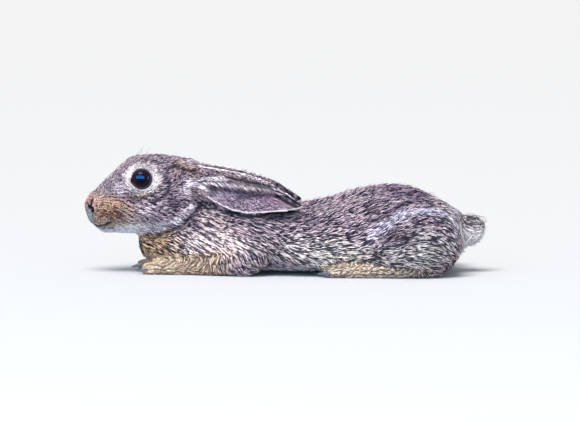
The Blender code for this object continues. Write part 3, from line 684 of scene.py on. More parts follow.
coat = spread(coat_of(twins, kind), pairs, COAT_BLEND)
rump = eased(np.linalg.norm(twins - RUMP, axis=1), *RUMP_REACH) * (kind == TRUNK)
coat[:, 1] *= 1 + RUMP_LONGER * rump
by_fold = eased(jaw_gap, *FOLD_REACH)
coat[:, 0] *= 1 - FOLD_THINNER * by_fold
coat[:, 1] *= 1 - FOLD_SHORTER * by_fold
# Where combings meet, hairs stand shorter and lower
coat[:, :2] *= eased(agreed, 0.2, 0.9)[:, None] * 0.5 + 0.5
beyond_lids, _, from_eye = eye_angles(twins, 1)
near_lid = eased(beyond_lids, *LID_COAT_STARTS) * (from_eye < EYE_RADIUS + LID_REACH)
coat += near_lid[:, None] * (np.array(COAT[LID]) - coat)
bare = np.maximum((kind == LID) * eased(beyond_lids, *LID_EDGE), in_nostril)
# Painted shade darkens the nostrils
tone += in_nostril[:, None] * (NOSTRIL_SHADE - tone)


def keep_on(mesh, name, values):
    """Keeps a value, or a colour, for each point of a mesh, where its material can read it."""
    if values.ndim == 2:
        values = np.concatenate([values, np.ones((len(values), 1))], 1)
        kept = mesh.attributes.new(name, "FLOAT_COLOR", "POINT")
        kept.data.foreach_set("color", values.astype(np.float32).ravel())
    else:
        kept = mesh.attributes.new(name, "FLOAT", "POINT")
        kept.data.foreach_set("value", values.astype(np.float32))


keep_on(hide_mesh, "tone", tone)
keep_on(hide_mesh, "bare", bare)


def wired(tree, kind_of_node, settings=(), **inputs):
    """Adds a node to a material; each input is a value or a socket, under its name or its _number."""
    made = tree.nodes.new("ShaderNode" + kind_of_node)
    for key, value in dict(settings).items():
        setattr(made, key, value)
    for key, value in inputs.items():
        socket = made.inputs[int(key[1:])] if key[0] == "_" else made.inputs[key.replace("_", " ")]
        if isinstance(value, bpy.types.NodeSocket):
            tree.links.new(value, socket)
        else:
            socket.default_value = value
    return made


def new_material(name):
    """A new material, its nodes and the shader that its finish is wired to."""
    made = bpy.data.materials.new(name)
    made.use_nodes = True
    return made, made.node_tree, made.node_tree.nodes["Principled BSDF"]


def hide_finish():
    """Suede under the coat, darker at the roots, and pored skin where it is bare."""
    made, tree, shader = new_material("hide_suede")
    tone_here = wired(tree, "Attribute", {"attribute_name": "tone"})
    bare_here = wired(tree, "Attribute", {"attribute_name": "bare"})
    place = wired(tree, "NewGeometry")
    mottle = wired(tree, "TexNoise", Vector=place.outputs["Position"], Scale=420.0, Detail=5.0)
    pores = wired(tree, "TexVoronoi", Vector=place.outputs["Position"], Scale=1900.0)
    depth_of_tone = wired(tree, "MapRange", Value=mottle.outputs["Fac"], _3=0.24, _4=0.48)
    skin_depth = wired(tree, "MapRange", Value=mottle.outputs["Fac"], _3=0.8, _4=1.2)
    share = wired(tree, "Mix", {"data_type": "FLOAT"}, _0=bare_here.outputs["Fac"],
                  _2=depth_of_tone.outputs[0], _3=skin_depth.outputs[0])
    shade = wired(tree, "VectorMath", {"operation": "SCALE"}, _0=tone_here.outputs["Color"],
                  Scale=share.outputs[0])
    tree.links.new(shade.outputs[0], shader.inputs["Base Color"])
    grain = wired(tree, "Math", {"operation": "ADD"}, _0=mottle.outputs["Fac"], _1=pores.outputs["Distance"])
    bump = wired(tree, "Bump", Strength=0.5, Distance=0.0003, Height=grain.outputs[0])
    tree.links.new(bump.outputs[0], shader.inputs["Normal"])
    rough = wired(tree, "MapRange", Value=bare_here.outputs["Fac"], _3=0.85, _4=0.55)
    tree.links.new(rough.outputs[0], shader.inputs["Roughness"])
    shader.inputs["Specular IOR Level"].default_value = 0.12
    return made


hide_mesh.materials.append(hide_finish())
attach(hide, "root")
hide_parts(*FLESH)

# ------------------------------------------------------------------ coat
# The coat is guard hair gathered in fine tufts. Each tuft is rooted in the hide, lies the way it is
# combed and bends with the body. Dark, banded and pale tufts lie in flecks along the coat's lie,
# which is its ticking; a banded tuft is slate at its root, cream above and dark at its tip. Every
# tuft darkens towards its root, partly as slate underfur and partly as painted shade among the tufts.
BOTH_SIDES = ((-1, "left"), (1, "right"))
ROOT_DEPTH = 0.3
TUFT_ON_SHEET = 0.003  # a tuft's share of the unwrap's breadth
RIDGE = 0.36  # a tuft's thickness, in widths
CLEAR_OF_FLOOR = 0.12
# How far along its length each stop of a tuft is, how high it stands, and its width between ends
LONG_TUFT = ((0.0, 0.36, 0.7, 1.0), (0.0, 0.6, 0.92, 1.0), (1.0, 0.8))
SHORT_TUFT = ((0.0, 0.45, 1.0), (0.0, 0.75, 1.0), (1.0,))
LENGTH_SPREAD, LIFT_SPREAD, WIDTH_SPREAD = (0.7, 1.25), (0.45, 1.05), (0.75, 1.2)
STRAYS, STRAY_LIFT, STRAY_WIDTH = 0.04, 1.5, 0.7
# How much length, lift and combing vary in waves over the coat, and how long those waves are
LENGTH_WAVES, LIFT_WAVES, FINE_SWING, BROAD_SWING = (0.15, 7.0), (0.2, 6.0), (0.10, 4.0), (0.11, 11.0)
LOOSE, TONE_SPREAD, HUE_SPREAD, SEED_SPREAD = 0.07, 0.06, 0.025, 0.09
# Flecks: their scale on the shortest hair and on the trunk's, their width and length before that
FLECK_SCALE, FLECK_WIDE, FLECK_LONG = (0.56, 1.02), 1.25, 6.0
hide_triangles = np.array([face.vertices[:] for face in hide_mesh.polygons if len(face.vertices) == 3])
squares = np.array([face.vertices[:] for face in hide_mesh.polygons if len(face.vertices) == 4])
hide_triangles = np.concatenate([hide_triangles, squares[:, :3], squares[:, [0, 2, 3]]])
hide_tree = BVHTree.FromPolygons((points * MM).tolist(), hide_triangles.tolist())


def laid_on_hide(places):
    """The nearest point of the hide to each place, the hide's normal there and its triangle."""
    found = np.empty((len(places), 6))
    triangle = np.empty(len(places), int)
    for k, place in enumerate((places * MM).tolist()):
        at, facing, triangle[k], _ = hide_tree.find_nearest(place)
        found[k, :3] = at
        found[k, 3:] = facing
    return found[:, :3] / MM, found[:, 3:], triangle


def unwrapped(triangles):
    """An unwrap of these triangles of the hide: a place on it for each of their corners."""
    used, corners = np.unique(triangles, return_inverse=True)
    sheet = bpy.data.meshes.new("sheet")
    sheet.from_pydata((points[used] * MM).tolist(), [], corners.reshape(-1, 3).tolist())
    pelt = placed("sheet", sheet)
    bpy.ops.object.select_all(action="DESELECT")
    pelt.select_set(True)
    bpy.context.view_layer.objects.active = pelt
    sheet.uv_layers.new(name="laid_flat")
    bpy.ops.object.mode_set(mode="EDIT")
    bpy.ops.mesh.select_all(action="SELECT")
    bpy.ops.uv.smart_project(angle_limit=1.15, island_margin=0.004, scale_to_bounds=True)
    bpy.ops.object.mode_set(mode="OBJECT")
    flat = read(sheet.uv_layers["laid_flat"].uv, "vector", 2).reshape(-1, 3, 2)
    bpy.data.objects.remove(pelt)
    bpy.data.meshes.remove(sheet)
    return flat.astype(float)


def rooted(triangles, thickly, draw):
    """Roots spread evenly over triangles: each root's triangle and its place in it."""
    a, b, c = (points[triangles[:, k]] for k in range(3))
    area = np.linalg.norm(np.cross(b - a, c - a), axis=1) / 2
    many = area * thickly
    ends = np.floor(np.cumsum(many) + draw.uniform()).astype(int)
    each = np.diff(ends, prepend=0)
    chosen = np.repeat(np.arange(len(triangles)), each)
    u, v = draw.uniform(size=(2, len(chosen)))
    over = u + v > 1
    u[over], v[over] = 1 - u[over], 1 - v[over]
    return chosen, np.stack([1 - u - v, u, v], 1)


def mixed(values, triangles, shares):
    """Values held at the hide's points, mixed for places inside its triangles."""
    return np.einsum("tk...,tk->t...", values[triangles], shares)


def tuft_piece(name, spine, ups, across, widths, seeds, hues, ticked, flat):
    """Joins tufts in one piece. A tuft starts and ends in a point, with three-sided rings between."""
    count, stops = spine.shape[:2]
    rings = stops - 2
    corners = 2 + 3 * rings
    along = np.linspace(0, 1, stops)
    places = np.empty((count, corners, 3))
    along_of, across_of = np.empty(corners), np.zeros(corners)
    places[:, 0], along_of[0] = spine[:, 0], 0
    places[:, -1], along_of[-1] = spine[:, -1], 1
    for ring in range(rings):
        half = (widths[:, ring] / 2)[:, None]
        middle, first = spine[:, ring + 1], 1 + 3 * ring
        places[:, first] = middle + across[:, ring + 1] * half
        places[:, first + 1] = middle + ups[:, ring + 1] * half * 2 * RIDGE
        places[:, first + 2] = middle - across[:, ring + 1] * half
        along_of[first:first + 3] = along[ring + 1]
        across_of[first], across_of[first + 2] = 1, -1
    places[:, :, 2] = np.maximum(places[:, :, 2], CLEAR_OF_FLOOR)
    faces = [(0, 2, 1), (0, 3, 2), (0, 1, 3)]
    for ring in range(rings - 1):
        first = 1 + 3 * ring
        for k in range(3):
            a, b = first + k, first + (k + 1) % 3
            faces += [(a, b, b + 3), (a, b + 3, a + 3)]
    last = 1 + 3 * (rings - 1)
    for k in range(3):
        faces.append((last + k, last + (k + 1) % 3, corners - 1))
    indices = (np.arange(count)[:, None, None] * corners + np.array(faces)).reshape(-1)
    mesh = bpy.data.meshes.new(name)
    mesh.vertices.add(count * corners)
    mesh.vertices.foreach_set("co", (places * MM).astype(np.float32).ravel())
    mesh.loops.add(len(indices))
    mesh.loops.foreach_set("vertex_index", indices.astype(np.int32))
    mesh.polygons.add(len(indices) // 3)
    mesh.polygons.foreach_set("loop_start", np.arange(0, len(indices), 3, dtype=np.int32))
    mesh.update(calc_edges=True)
    mesh.shade_smooth()
    patch = np.stack([along_of - 0.5, across_of * 0.5], 1) * TUFT_ON_SHEET
    layer = mesh.uv_layers.new(name="OFBake", do_init=False)
    flat_corners = (flat[:, None, :] + patch[None]).reshape(-1, 2).clip(0, 1)
    layer.uv.foreach_set("vector", flat_corners[indices].astype(np.float32).ravel())
    for title, values in (("tone", hues), ("seed", seeds), ("ticking", ticked)):
        keep_on(mesh, title, np.repeat(values, corners, axis=0))
    keep_on(mesh, "along", np.tile(along_of, count))
    keep_on(mesh, "across", np.tile(across_of, count))
    mesh.materials.append(coat_material)
    piece = placed(name, mesh)
    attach(piece, "root")


def graded(tree, along, stops):
    """Colours that run into each other along a value; each stop is a place on it and its colour."""
    ramp = wired(tree, "ValToRGB", Fac=along)
    while len(ramp.color_ramp.elements) < len(stops):
        ramp.color_ramp.elements.new(0.5)
    for element, (place, colour) in zip(ramp.color_ramp.elements, stops):
        element.position = place
        element.color = (*colour, 1)
    return ramp.outputs["Color"]


BRIGHTEST = 2.75  # the bands' brightnesses are wired as shares of this
TUFT_BANDS = (
    # tint, then how bright it is from root to tip: a dark, a banded and a pale tuft
    ((1.0, 0.72, 1.4), ((0.0, 0.03), (0.35, 0.06), (0.55, 0.12), (0.75, 0.08), (1.0, 0.04))),
    ((1.0, 0.94, 1.0), ((0.0, 0.08), (0.3, 0.30), (0.55, 0.95), (0.78, 0.95), (0.92, 0.35), (1.0, 0.2))),
    ((1.06, 1.08, 0.94), ((0.0, 0.15), (0.3, 0.9), (0.55, 2.5), (0.8, 2.75), (1.0, 2.7))),
)
# The seeds at which dark tufts turn into banded ones, and banded into pale
BANDED_FROM = (0.40, 0.49)
PALE_FROM = (0.55, 0.61)
BAND_SHIFT = 0.16
# A plain tuft's darker root is painted shade among the tufts
PLAIN_BRIGHT = (0.16, 0.364)  # a tuft with no ticking, at its root and above
STRAND_STRETCH = (3.0, 1.2, 90.0)
STRAND_BRIGHT = (2.4, 3.1)


def coat_finish():
    """Ticked hair: dark, banded and pale tufts, each with fine strands along it."""
    made, tree, shader = new_material("coat_ticked")
    tone_here, along, across, seed, ticked = (
        wired(tree, "Attribute", {"attribute_name": name})
        for name in ("tone", "along", "across", "seed", "ticking"))
    shift = wired(tree, "TexWhiteNoise", {"noise_dimensions": "1D"}, W=seed.outputs["Fac"])
    moved = wired(tree, "Math", {"operation": "MULTIPLY_ADD"}, _0=shift.outputs["Value"], _1=BAND_SHIFT,
                  _2=along.outputs["Fac"])
    band = wired(tree, "Math", {"operation": "SUBTRACT"}, _0=moved.outputs[0], _1=BAND_SHIFT / 2)
    dark, banded, pale = (
        graded(tree, band.outputs[0], [(place, [bright / BRIGHTEST * share for share in tint])
                                       for place, bright in stops])
        for tint, stops in TUFT_BANDS)
    to_banded, to_pale = (
        wired(tree, "MapRange", {"interpolation_type": "SMOOTHSTEP"}, Value=seed.outputs["Fac"],
              _1=start, _2=full)
        for start, full in (BANDED_FROM, PALE_FROM))
    dark_or_banded = wired(tree, "Mix", {"data_type": "RGBA"}, _0=to_banded.outputs[0], _6=dark, _7=banded)
    all_three = wired(tree, "Mix", {"data_type": "RGBA"}, _0=to_pale.outputs[0],
                      _6=dark_or_banded.outputs[2], _7=pale)
    stretched = wired(tree, "CombineXYZ", X=across.outputs["Fac"], Y=along.outputs["Fac"],
                      Z=seed.outputs["Fac"])
    strand_place = wired(tree, "VectorMath", {"operation": "MULTIPLY"}, _0=stretched.outputs[0],
                         _1=STRAND_STRETCH)
    strands = wired(tree, "TexNoise", Vector=strand_place.outputs[0], Scale=1.6, Detail=3.0)
    plain = wired(tree, "MapRange", Value=along.outputs["Fac"], _1=0.0, _2=0.6, _3=PLAIN_BRIGHT[0],
                  _4=PLAIN_BRIGHT[1])
    plain_colour = wired(tree, "CombineColor", Red=plain.outputs[0], Green=plain.outputs[0],
                         Blue=plain.outputs[0])
    ticking_here = wired(tree, "Mix", {"data_type": "RGBA"}, _0=ticked.outputs["Fac"],
                         _6=plain_colour.outputs[0], _7=all_three.outputs[2])
    strength = wired(tree, "MapRange", Value=strands.outputs["Fac"], _1=0.3, _2=0.7, _3=STRAND_BRIGHT[0],
                     _4=STRAND_BRIGHT[1])
    shade = wired(tree, "VectorMath", {"operation": "MULTIPLY"}, _0=tone_here.outputs["Color"],
                  _1=ticking_here.outputs[2])
    final = wired(tree, "VectorMath", {"operation": "SCALE"}, _0=shade.outputs[0], Scale=strength.outputs[0])
    tree.links.new(final.outputs[0], shader.inputs["Base Color"])
    bump = wired(tree, "Bump", Strength=0.35, Distance=0.0001, Height=strands.outputs["Fac"])
    tree.links.new(bump.outputs[0], shader.inputs["Normal"])
    shader.inputs["Roughness"].default_value = 0.62
    shader.inputs["Specular IOR Level"].default_value = 0.14
    return made


coat_material = coat_finish()


def wavy(places, size_and_length, seed):
    """Waves of a given size and length."""
    size, length = size_and_length
    return size * waves(places, length, seed)


def grow(name, triangles, tuft, seed):
    """Grows one stretch of coat on these triangles of the hide."""
    draw = np.random.default_rng(seed)
    flat = unwrapped(triangles)
    thickly = coat[triangles][:, :, 3].mean(1) * (bare[triangles].max(1) < 0.5)
    chosen, shares = rooted(triangles, thickly, draw)
    corners = triangles[chosen]
    count = len(chosen)
    at = mixed(points, corners, shares)
    up = unit(mixed(normals, corners, shares))
    way = mixed(lie, corners, shares)
    high, length, width, _ = mixed(coat, corners, shares).T
    stray = draw.uniform(size=count) < STRAYS
    length = length * draw.uniform(*LENGTH_SPREAD, count) * (1 + wavy(at, LENGTH_WAVES, 21))
    high = high * draw.uniform(*LIFT_SPREAD, count) * (1 + wavy(at, LIFT_WAVES, 22))
    high = high * np.where(stray, STRAY_LIFT, 1)
    width = width * draw.uniform(*WIDTH_SPREAD, count) * np.where(stray, STRAY_WIDTH, 1)
    sideways = np.cross(up, way)
    swing = wavy(at, FINE_SWING, 23) + wavy(at, BROAD_SWING, 24) + draw.normal(0, LOOSE, count)
    way = unit(way + sideways * swing[:, None])
    reached, lifted, narrowed = tuft
    stops = len(reached)
    spine, ups, across = np.empty((3, count, stops, 3))
    spine[:, 0] = at - up * ROOT_DEPTH
    ups[:, 0] = up
    across[:, 0] = sideways
    here = at
    for stop in range(1, stops):
        step = (reached[stop] - reached[stop - 1]) * length
        here, facing, under = laid_on_hide(here + way * step[:, None])
        if stop == stops - 2:
            shows_at, shows_on = here, hide_triangles[under]
        spine[:, stop] = here + facing * (lifted[stop] * high)[:, None]
        ups[:, stop] = facing
        way = unit(way - facing * np.sum(way * facing, axis=1, keepdims=True))
        across[:, stop] = np.cross(facing, way)
    finest, coarsest = FLECK_SCALE
    fleck = finest + (coarsest - finest) * length / COAT[TRUNK][1]
    seeds = 0.5 + 0.5 * streaks(shows_at / fleck[:, None], way, FLECK_WIDE, FLECK_LONG, 25)
    seeds = np.clip(seeds + draw.normal(0, SEED_SPREAD, count), 0, 1) + draw.uniform(0, 1e-4, count)
    widths = width[:, None] * np.array(narrowed)
    hues = tone[shows_on].mean(1) * draw.normal(1, TONE_SPREAD, (count, 1))
    hues = hues * draw.normal(1, HUE_SPREAD, (count, 3))
    laid_flat = np.einsum("tkc,tk->tc", flat[chosen], shares)
    tuft_piece(name, spine, ups, across, widths, seeds, hues.clip(0, 1), ticking[shows_on].mean(1),
               laid_flat)


triangle_kind = kind[hide_triangles][:, 0]
triangle_side = np.sign(points[hide_triangles].mean(1)[:, 1])
triangle_x = points[hide_triangles].mean(1)[:, 0]
REGIONS = (
    # name, kinds of part, where it is cut along the body, kind of tuft, material slot
    ("face", (HEAD, LID), (-101,), SHORT_TUFT, "coat"),
    ("neck", (NECK,), (), LONG_TUFT, "coat"),
    ("trunk", (TRUNK,), (0, 42, 84), LONG_TUFT, "coat"),
    ("haunch", (THIGH,), (), LONG_TUFT, "coat"),
    ("tail", (TAIL,), (), LONG_TUFT, "coat"),
    ("foreleg", (FORELEG, FOREPAW), (), SHORT_TUFT, "coat"),
    ("hindfoot", (HINDFOOT,), (), SHORT_TUFT, "coat"),
    ("ear", (EAR,), (), SHORT_TUFT, "ear"),
)
PAST_EITHER_END = 1000
seed = 100
for region, parts, cuts, tuft, slot in REGIONS:
    limits = (-PAST_EITHER_END, *cuts, PAST_EITHER_END)
    for side, title in BOTH_SIDES:
        for number, (start, end) in enumerate(zip(limits[:-1], limits[1:]), 1):
            belongs = np.isin(triangle_kind, parts) & (triangle_side == side)
            belongs &= (triangle_x >= start) & (triangle_x < end)
            suffix = f"_{number}" if cuts else ""
            seed += 1
            grow(f"coat_{region}_{title}{suffix}", hide_triangles[belongs], tuft, seed)

# ------------------------------------------------------------------ ear fringe
# Long pale hairs grow from the rolled upper edge of each ear and hang back across its hollow, long
# near the head and short towards the tip. A tuft fills the lobe, and short white hair lines the rim.
FRINGE_HAIRS = 1500
FRINGE_ENDS = (-58.0, 0.0)
FRINGE_ROOTS = (-0.05, 0.7)  # from the edge towards the crest of the ear's back
FRINGE_SPREAD = (0.55, 1.2)
# Its length at places from the head to the tip
FRINGE_LENGTH = ((0, 0.16, 0.32, 0.6, 1), (5.0, 8.0, 11.0, 9.0, 3.0))
FRINGE_WIDTH = 0.28
FRINGE_SWEEP = ((0.80, 0.22, -0.58), (0.74, 0.02, -0.68), (0.80, -0.16, -0.60))
FRINGE_LOOSE, LOBE_LOOSE, RIM_LOOSE = 0.07, 0.09, 0.06
FRINGE_FRONT = paint(250, 244, 255)
FRINGE_BACK = paint(170, 148, 164)
LOBE_HAIRS = 700
LOBE_CORNER = (-68.0, 20.4, 57.0)
LOBE_BACK = np.array((8.5, 0.6, 0.0))
LOBE_UP = np.array((0.5, 0.2, 8.0))
LOBE_SWEEP = ((0.90, 0.30, -0.12), (0.96, 0.02, -0.16), (0.96, -0.14, -0.22))
LOBE_LENGTH, LOBE_WIDTH = (5.5, 11.0), 0.36
LOBE_COLOUR = paint(206, 190, 206)
RIM_HAIRS = 520
RIM_ENDS = (-53.0, 11.5)
RIM_LENGTH, RIM_WIDTH = (1.8, 3.2), 0.4
HAIR_NARROWS = 0.75
FRINGE_SEED, LOBE_SEED, RIM_SEED = 201, 205, 203


def hang(name, roots, steps, lengths, width, colours, ticked, draw, seeds):
    """Free hairs: each goes from its root in three steps, each step in its own direction."""
    count = len(roots)
    spine = np.empty((count, 4, 3))
    spine[:, 0] = roots
    for k in range(3):
        spine[:, k + 1] = spine[:, k] + unit(steps[k]) * (lengths / 3)[:, None]
    ways = unit(np.gradient(spine, axis=1))
    across = unit(np.cross(ways, draw.normal(size=(count, 1, 3))))
    ups = np.cross(ways, across)
    widths = np.tile((width, width * HAIR_NARROWS), (count, 1))
    seeds = np.broadcast_to(seeds, count)
    tuft_piece(name, spine, ups, across, widths, seeds, colours.clip(0, 1), np.full(count, ticked),
               draw.uniform(0.05, 0.95, (count, 2)))


def varied(colour, count, spread_of_light, draw):
    """One colour for this many hairs, each a little lighter or darker than the next."""
    return np.tile(colour, (count, 1)) * draw.normal(1, spread_of_light, (count, 1))


def swept(sweep, side, count, loose, draw):
    """The directions of each hair's three steps, each a little off the sweep."""
    return [np.array(way) * (1, side, 1) + draw.normal(0, loose, (count, 3)) for way in sweep]


def fringe(side, title, seed):
    """The long hairs over one ear's hollow, in locks."""
    draw = np.random.default_rng(seed)
    x = draw.uniform(*FRINGE_ENDS, FRINGE_HAIRS)
    edge = on_curve(np.stack([x, x, x], 1), EAR_UPPER_EDGE)
    crest = on_curve(np.stack([x, x, x], 1), EAR_CREST)
    up_the_back = draw.uniform(*FRINGE_ROOTS, FRINGE_HAIRS)[:, None]
    roots = edge + (crest - edge) * up_the_back
    roots[:, 1] *= side
    roots = laid_on_hide(roots)[0]
    toward_tip = (x - FRINGE_ENDS[0]) / (FRINGE_ENDS[1] - FRINGE_ENDS[0])
    lengths = np.interp(toward_tip, *FRINGE_LENGTH)
    lengths *= draw.uniform(*FRINGE_SPREAD, FRINGE_HAIRS)
    lock = 0.16 * np.sin(x * 3.1 + 2 * np.sin(x * 0.9))
    steps = swept(FRINGE_SWEEP, side, FRINGE_HAIRS, FRINGE_LOOSE, draw)
    for step in steps:
        step[:, 0] += lock
    seeds = 0.55 + 0.28 * np.sin(x * 2.6 + 5 * up_the_back[:, 0]) + draw.normal(0, 0.2, FRINGE_HAIRS)
    colours = FRINGE_FRONT + toward_tip[:, None].clip(0, 1) ** 0.6 * (FRINGE_BACK - FRINGE_FRONT)
    colours = colours * draw.normal(1, TONE_SPREAD, (FRINGE_HAIRS, 1)).clip(0.8, 1.15)
    hang(f"ear_fringe_{title}", roots, steps, lengths, FRINGE_WIDTH, colours, 0.9, draw,
         seeds.clip(0, 1))


def lobe(side, title, seed):
    """The tuft at the root of one ear."""
    draw = np.random.default_rng(seed)
    back, up = draw.uniform(size=(2, LOBE_HAIRS))
    roots = np.array(LOBE_CORNER) + back[:, None] * LOBE_BACK + up[:, None] * LOBE_UP
    roots = laid_on_hide(roots * (1, side, 1))[0]
    steps = swept(LOBE_SWEEP, side, LOBE_HAIRS, LOBE_LOOSE, draw)
    colours = varied(LOBE_COLOUR, LOBE_HAIRS, TONE_SPREAD, draw)
    lengths = draw.uniform(*LOBE_LENGTH, LOBE_HAIRS)
    seeds = draw.uniform(0.2, 1, LOBE_HAIRS)
    hang(f"ear_lobe_{title}", roots, steps, lengths, LOBE_WIDTH, colours, 0.8, draw, seeds)


def rim(side, title, seed):
    """The short hairs that lie along the lower edge of one ear."""
    draw = np.random.default_rng(seed)
    x = draw.uniform(*RIM_ENDS, RIM_HAIRS)
    level = np.stack([x, x, x], 1)
    edge = on_curve(level, EAR_LOWER_EDGE)
    along = unit(on_curve(level + 0.5, EAR_LOWER_EDGE) - edge)
    flip = np.array((1, side, 1))
    steps = [(along + (0, 0.1 * bend, -0.1 * bend) + draw.normal(0, RIM_LOOSE, (RIM_HAIRS, 3))) * flip
             for bend in (1, 0, -1)]
    roots = laid_on_hide((edge + draw.normal(0, 0.35, (RIM_HAIRS, 3))) * flip)[0]
    colours = varied(EAR_RIM, RIM_HAIRS, 0.05, draw)
    lengths = draw.uniform(*RIM_LENGTH, RIM_HAIRS)
    hang(f"ear_rim_{title}", roots, steps, lengths, RIM_WIDTH, colours, 0.0, draw, 0.9)


for number, (side, title) in enumerate(BOTH_SIDES):
    fringe(side, title, FRINGE_SEED + number)
    lobe(side, title, LOBE_SEED + number)
    rim(side, title, RIM_SEED + number)

# ------------------------------------------------------------------ whiskers
# Whiskers are stiff single hairs: three rows of five on each lip pad, swept out and back, and three
# short ones that stand up over the brow.
WHISKER_WIDTH, WHISKER_LOOSE, WHISKER_SEED = 0.3, 0.08, 211
PAD_ROWS = ((-129.0, 9.0, 45.5), (-128.0, 9.5, 42.5), (-127.0, 9.5, 39.5))
PAD_STEP = (3.2, 1.0, 0.2)
PAD_WHISKERS = 5
PAD_SWEEP = ((0.45, 0.85, -0.1), (0.75, 0.55, -0.35), (0.85, 0.3, -0.5))
PAD_LENGTH = (20, 34)
BROW_WHISKERS = ((-104.0, 9.0, 79.5), (-101.5, 9.5, 80.0), (-97.0, 9.5, 80.2))
BROW_SWEEP = ((0.15, 0.25, 1.0), (0.35, 0.2, 0.95), (0.5, 0.15, 0.9))
BROW_LENGTHS = (9.0, 11.0, 10.0)
DARK_WHISKERS = 0.55
WHISKER_DARK = paint(70, 56, 54)
WHISKER_PALE = paint(232, 222, 216)


def whiskers(side, title, seed):
    """The whiskers of one lip pad and one brow."""
    draw = np.random.default_rng(seed)
    roots = [np.array(row) + np.array(PAD_STEP) * k for row in PAD_ROWS for k in range(PAD_WHISKERS)]
    sweeps = [PAD_SWEEP] * len(roots) + [BROW_SWEEP] * len(BROW_WHISKERS)
    lengths = np.array([draw.uniform(*PAD_LENGTH) for _ in roots] + [*BROW_LENGTHS])
    roots = np.array([*roots, *BROW_WHISKERS]) * (1, side, 1)
    count = len(roots)
    steps = [np.array([sweep[k] for sweep in sweeps]) * (1, side, 1) for k in range(3)]
    steps = [step + draw.normal(0, WHISKER_LOOSE, (count, 3)) for step in steps]
    dark = [draw.uniform() < DARK_WHISKERS for _ in range(count)]
    colours = np.where(np.array(dark)[:, None], WHISKER_DARK, WHISKER_PALE)
    hang(f"whiskers_{title}", laid_on_hide(roots)[0], steps, lengths, WHISKER_WIDTH, colours, 0.0,
         draw, 0.5)


for number, (side, title) in enumerate(BOTH_SIDES):
    whiskers(side, title, WHISKER_SEED + number)

# ------------------------------------------------------------------ eyes
# Each eye is a glass eye: a ball, a little swollen in front, with a wide black pupil and a dark
# chestnut iris, black round its rim, all under a hard polish. It sits in the lid's opening.
EYEBALL_SEGMENTS = (72, 48)
CORNEA_SWELL = 0.35
CORNEA_EDGE = (58, 20)  # degrees from the middle where the swelling starts and is full
PUPIL, IRIS = 0.27, 0.62
EYE_COLOURS = (
    # share of the eye's radius, colour as light
    (PUPIL, (0.001, 0.001, 0.002)),
    (PUPIL + 0.14, (0.010, 0.002, 0.002)),
    (IRIS - 0.09, (0.030, 0.004, 0.002)),
    (IRIS, (0.022, 0.003, 0.002)),
    (IRIS + 0.05, (0.002, 0.001, 0.002)),
    (1.0, (0.004, 0.002, 0.002)),
)


def eyeball(side, title):
    """One glass eye, set to look where its lid opens."""
    centre, looks, back, up = eye_frame(side)
    ball = bmesh.new()
    bmesh.ops.create_uvsphere(ball, u_segments=EYEBALL_SEGMENTS[0], v_segments=EYEBALL_SEGMENTS[1],
                              radius=EYE_RADIUS * MM)
    for vert in ball.verts:
        angle = math.degrees(math.acos(max(-1, min(1, vert.co.z / (EYE_RADIUS * MM)))))
        vert.co *= 1 + CORNEA_SWELL / EYE_RADIUS * float(eased(angle, *CORNEA_EDGE))
    mesh = bpy.data.meshes.new(f"eyeball_{title}")
    ball.to_mesh(mesh)
    ball.free()
    mesh.shade_smooth()
    eye = placed(f"eyeball_{title}", mesh)
    turn = Matrix((side * -back, up, looks)).transposed()
    eye.matrix_world = Matrix.Translation(Vector(centre * MM)) @ turn.to_4x4()
    mesh.materials.append(eye_material)
    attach(eye, "root")
    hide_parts(f"eye_{title}")


def eye_finish():
    """Black pupil, streaked chestnut iris and black rim, under a hard gloss."""
    made, tree, shader = new_material("eye_glass")
    place = wired(tree, "TexCoord")
    apart = wired(tree, "SeparateXYZ", Vector=place.outputs["Object"])
    flat = wired(tree, "CombineXYZ", X=apart.outputs["X"], Y=apart.outputs["Y"])
    from_middle = wired(tree, "VectorMath", {"operation": "LENGTH"}, _0=flat.outputs[0])
    share = wired(tree, "Math", {"operation": "MULTIPLY"}, _0=from_middle.outputs["Value"],
                  _1=1 / (EYE_RADIUS * MM))
    rays = wired(tree, "TexNoise", Vector=place.outputs["Object"], Scale=900.0, Detail=4.0)
    strength = wired(tree, "MapRange", Value=rays.outputs["Fac"], _3=0.4, _4=1.7)
    rings = graded(tree, share.outputs[0], EYE_COLOURS)
    colour = wired(tree, "VectorMath", {"operation": "SCALE"}, _0=rings, Scale=strength.outputs[0])
    tree.links.new(colour.outputs[0], shader.inputs["Base Color"])
    shader.inputs["Roughness"].default_value = 0.03
    shader.inputs["IOR"].default_value = 1.24
    shader.inputs["Specular Tint"].default_value = (0.14, 0.42, 1.0, 1)
    return made


eye_material = eye_finish()
for side, title in BOTH_SIDES:
    eyeball(side, title)

# ------------------------------------------------------------------ claws
# Claws are dark horn, mottled with a paler brown and worn smooth, with a faint grain. They are the
# parts' own claws, given a horn finish.
HORN_DARK = (0.030, 0.020, 0.018)
HORN_PALE = (0.110, 0.078, 0.062)


def claw_finish():
    """Dark mottled horn with a dull shine."""
    made, tree, shader = new_material("claw_horn")
    place = wired(tree, "NewGeometry")
    grown = wired(tree, "TexNoise", Vector=place.outputs["Position"], Scale=900.0, Detail=5.0)
    horn = graded(tree, grown.outputs["Fac"], ((0.0, HORN_DARK), (1.0, HORN_PALE)))
    tree.links.new(horn, shader.inputs["Base Color"])
    bump = wired(tree, "Bump", Strength=0.3, Distance=0.0001, Height=grown.outputs["Fac"])
    tree.links.new(bump.outputs[0], shader.inputs["Normal"])
    shader.inputs["Roughness"].default_value = 0.38
    return made


claw_material = claw_finish()
for name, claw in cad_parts.items():
    if name.startswith("claw"):
        for material_slot in claw.material_slots:
            material_slot.material = claw_material

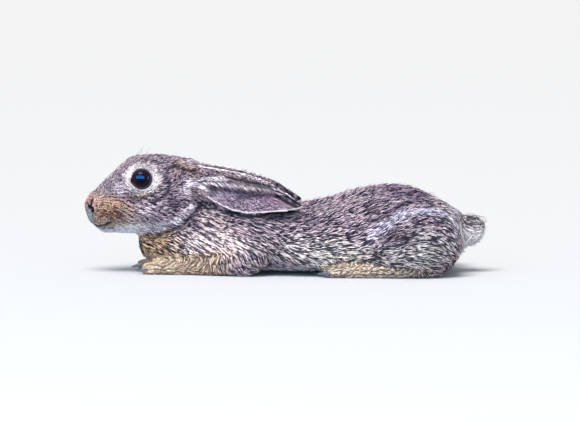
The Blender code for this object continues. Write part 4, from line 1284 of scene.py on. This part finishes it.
# ------------------------------------------------------------------ floor, light and camera
# The rabbit lies on a plain pale floor under an even sky and a wide soft sun. A blue panel in front
# and a narrow one behind add only shine, on the eye and along the hair.
FLOOR_HALF = 40.0  # this section's sizes are in metres
FLOOR_PALE = (0.47, 0.465, 0.46, 1)
SKY_COLOUR, SKY_STRENGTH = (0.92, 0.95, 1.0, 1), 0.6
SHINE_AIM = Vector((-0.1, 0, 0.066))
SHINES = (
    # name, place, breadth and height, watts, colour
    ("window", (-0.37, -1.17, 0.49), (2.0, 0.66), 150, (0.30, 0.60, 1.0)),
    ("rear", (1.2, -0.32, 0.16), (0.16, 0.9), 14, (0.5, 0.78, 1.0)),
)
SUN_STRENGTH, SUN_BREADTH = 4.9, math.radians(35)
SUN_WAY = Vector((0.2, 0.5, -1.0))


def aimed(held, way):
    """Turns a lamp or a camera to face this way, level."""
    held.rotation_mode = "QUATERNION"
    held.rotation_quaternion = way.to_track_quat("-Z", "Y")


bpy.ops.mesh.primitive_plane_add(size=2 * FLOOR_HALF)
floor = bpy.context.object
floor.name = "floor"
floor_material, _, shader = new_material("floor_pale")
shader.inputs["Base Color"].default_value = FLOOR_PALE
shader.inputs["Roughness"].default_value = 0.8
floor.data.materials.append(floor_material)

world = bpy.data.worlds.new("studio")
bpy.context.scene.world = world
world.use_nodes = True
world.node_tree.nodes["Background"].inputs["Color"].default_value = SKY_COLOUR
world.node_tree.nodes["Background"].inputs["Strength"].default_value = SKY_STRENGTH

for name, place, size, watts, colour in SHINES:
    panel = bpy.data.lights.new(name, "AREA")
    panel.shape = "RECTANGLE"
    panel.size, panel.size_y = size
    panel.energy = watts
    panel.color = colour
    held = placed(name, panel)
    held.location = place
    held.visible_diffuse = False
    aimed(held, SHINE_AIM - Vector(place))

sun = bpy.data.lights.new("skylight", "SUN")
sun.energy = SUN_STRENGTH
sun.angle = SUN_BREADTH
aimed(placed("skylight", sun), SUN_WAY)

CAMERA_RISE = math.radians(5)
CAMERA_AWAY = 3.0
CAMERA_AIM = Vector((0.00385, 0, 0.0337))
VIEW_WIDTH = 0.406
SENSOR = 36.0
camera = placed("camera", bpy.data.cameras.new("camera"))
camera.data.sensor_width = SENSOR
camera.data.lens = SENSOR * CAMERA_AWAY / VIEW_WIDTH
toward_camera = Vector((0, -math.cos(CAMERA_RISE), math.sin(CAMERA_RISE)))
camera.location = CAMERA_AIM + toward_camera * CAMERA_AWAY
camera.data.clip_end = 100
aimed(camera, -toward_camera)
bpy.context.scene.camera = camera
bpy.context.scene.view_settings.view_transform = "Standard"
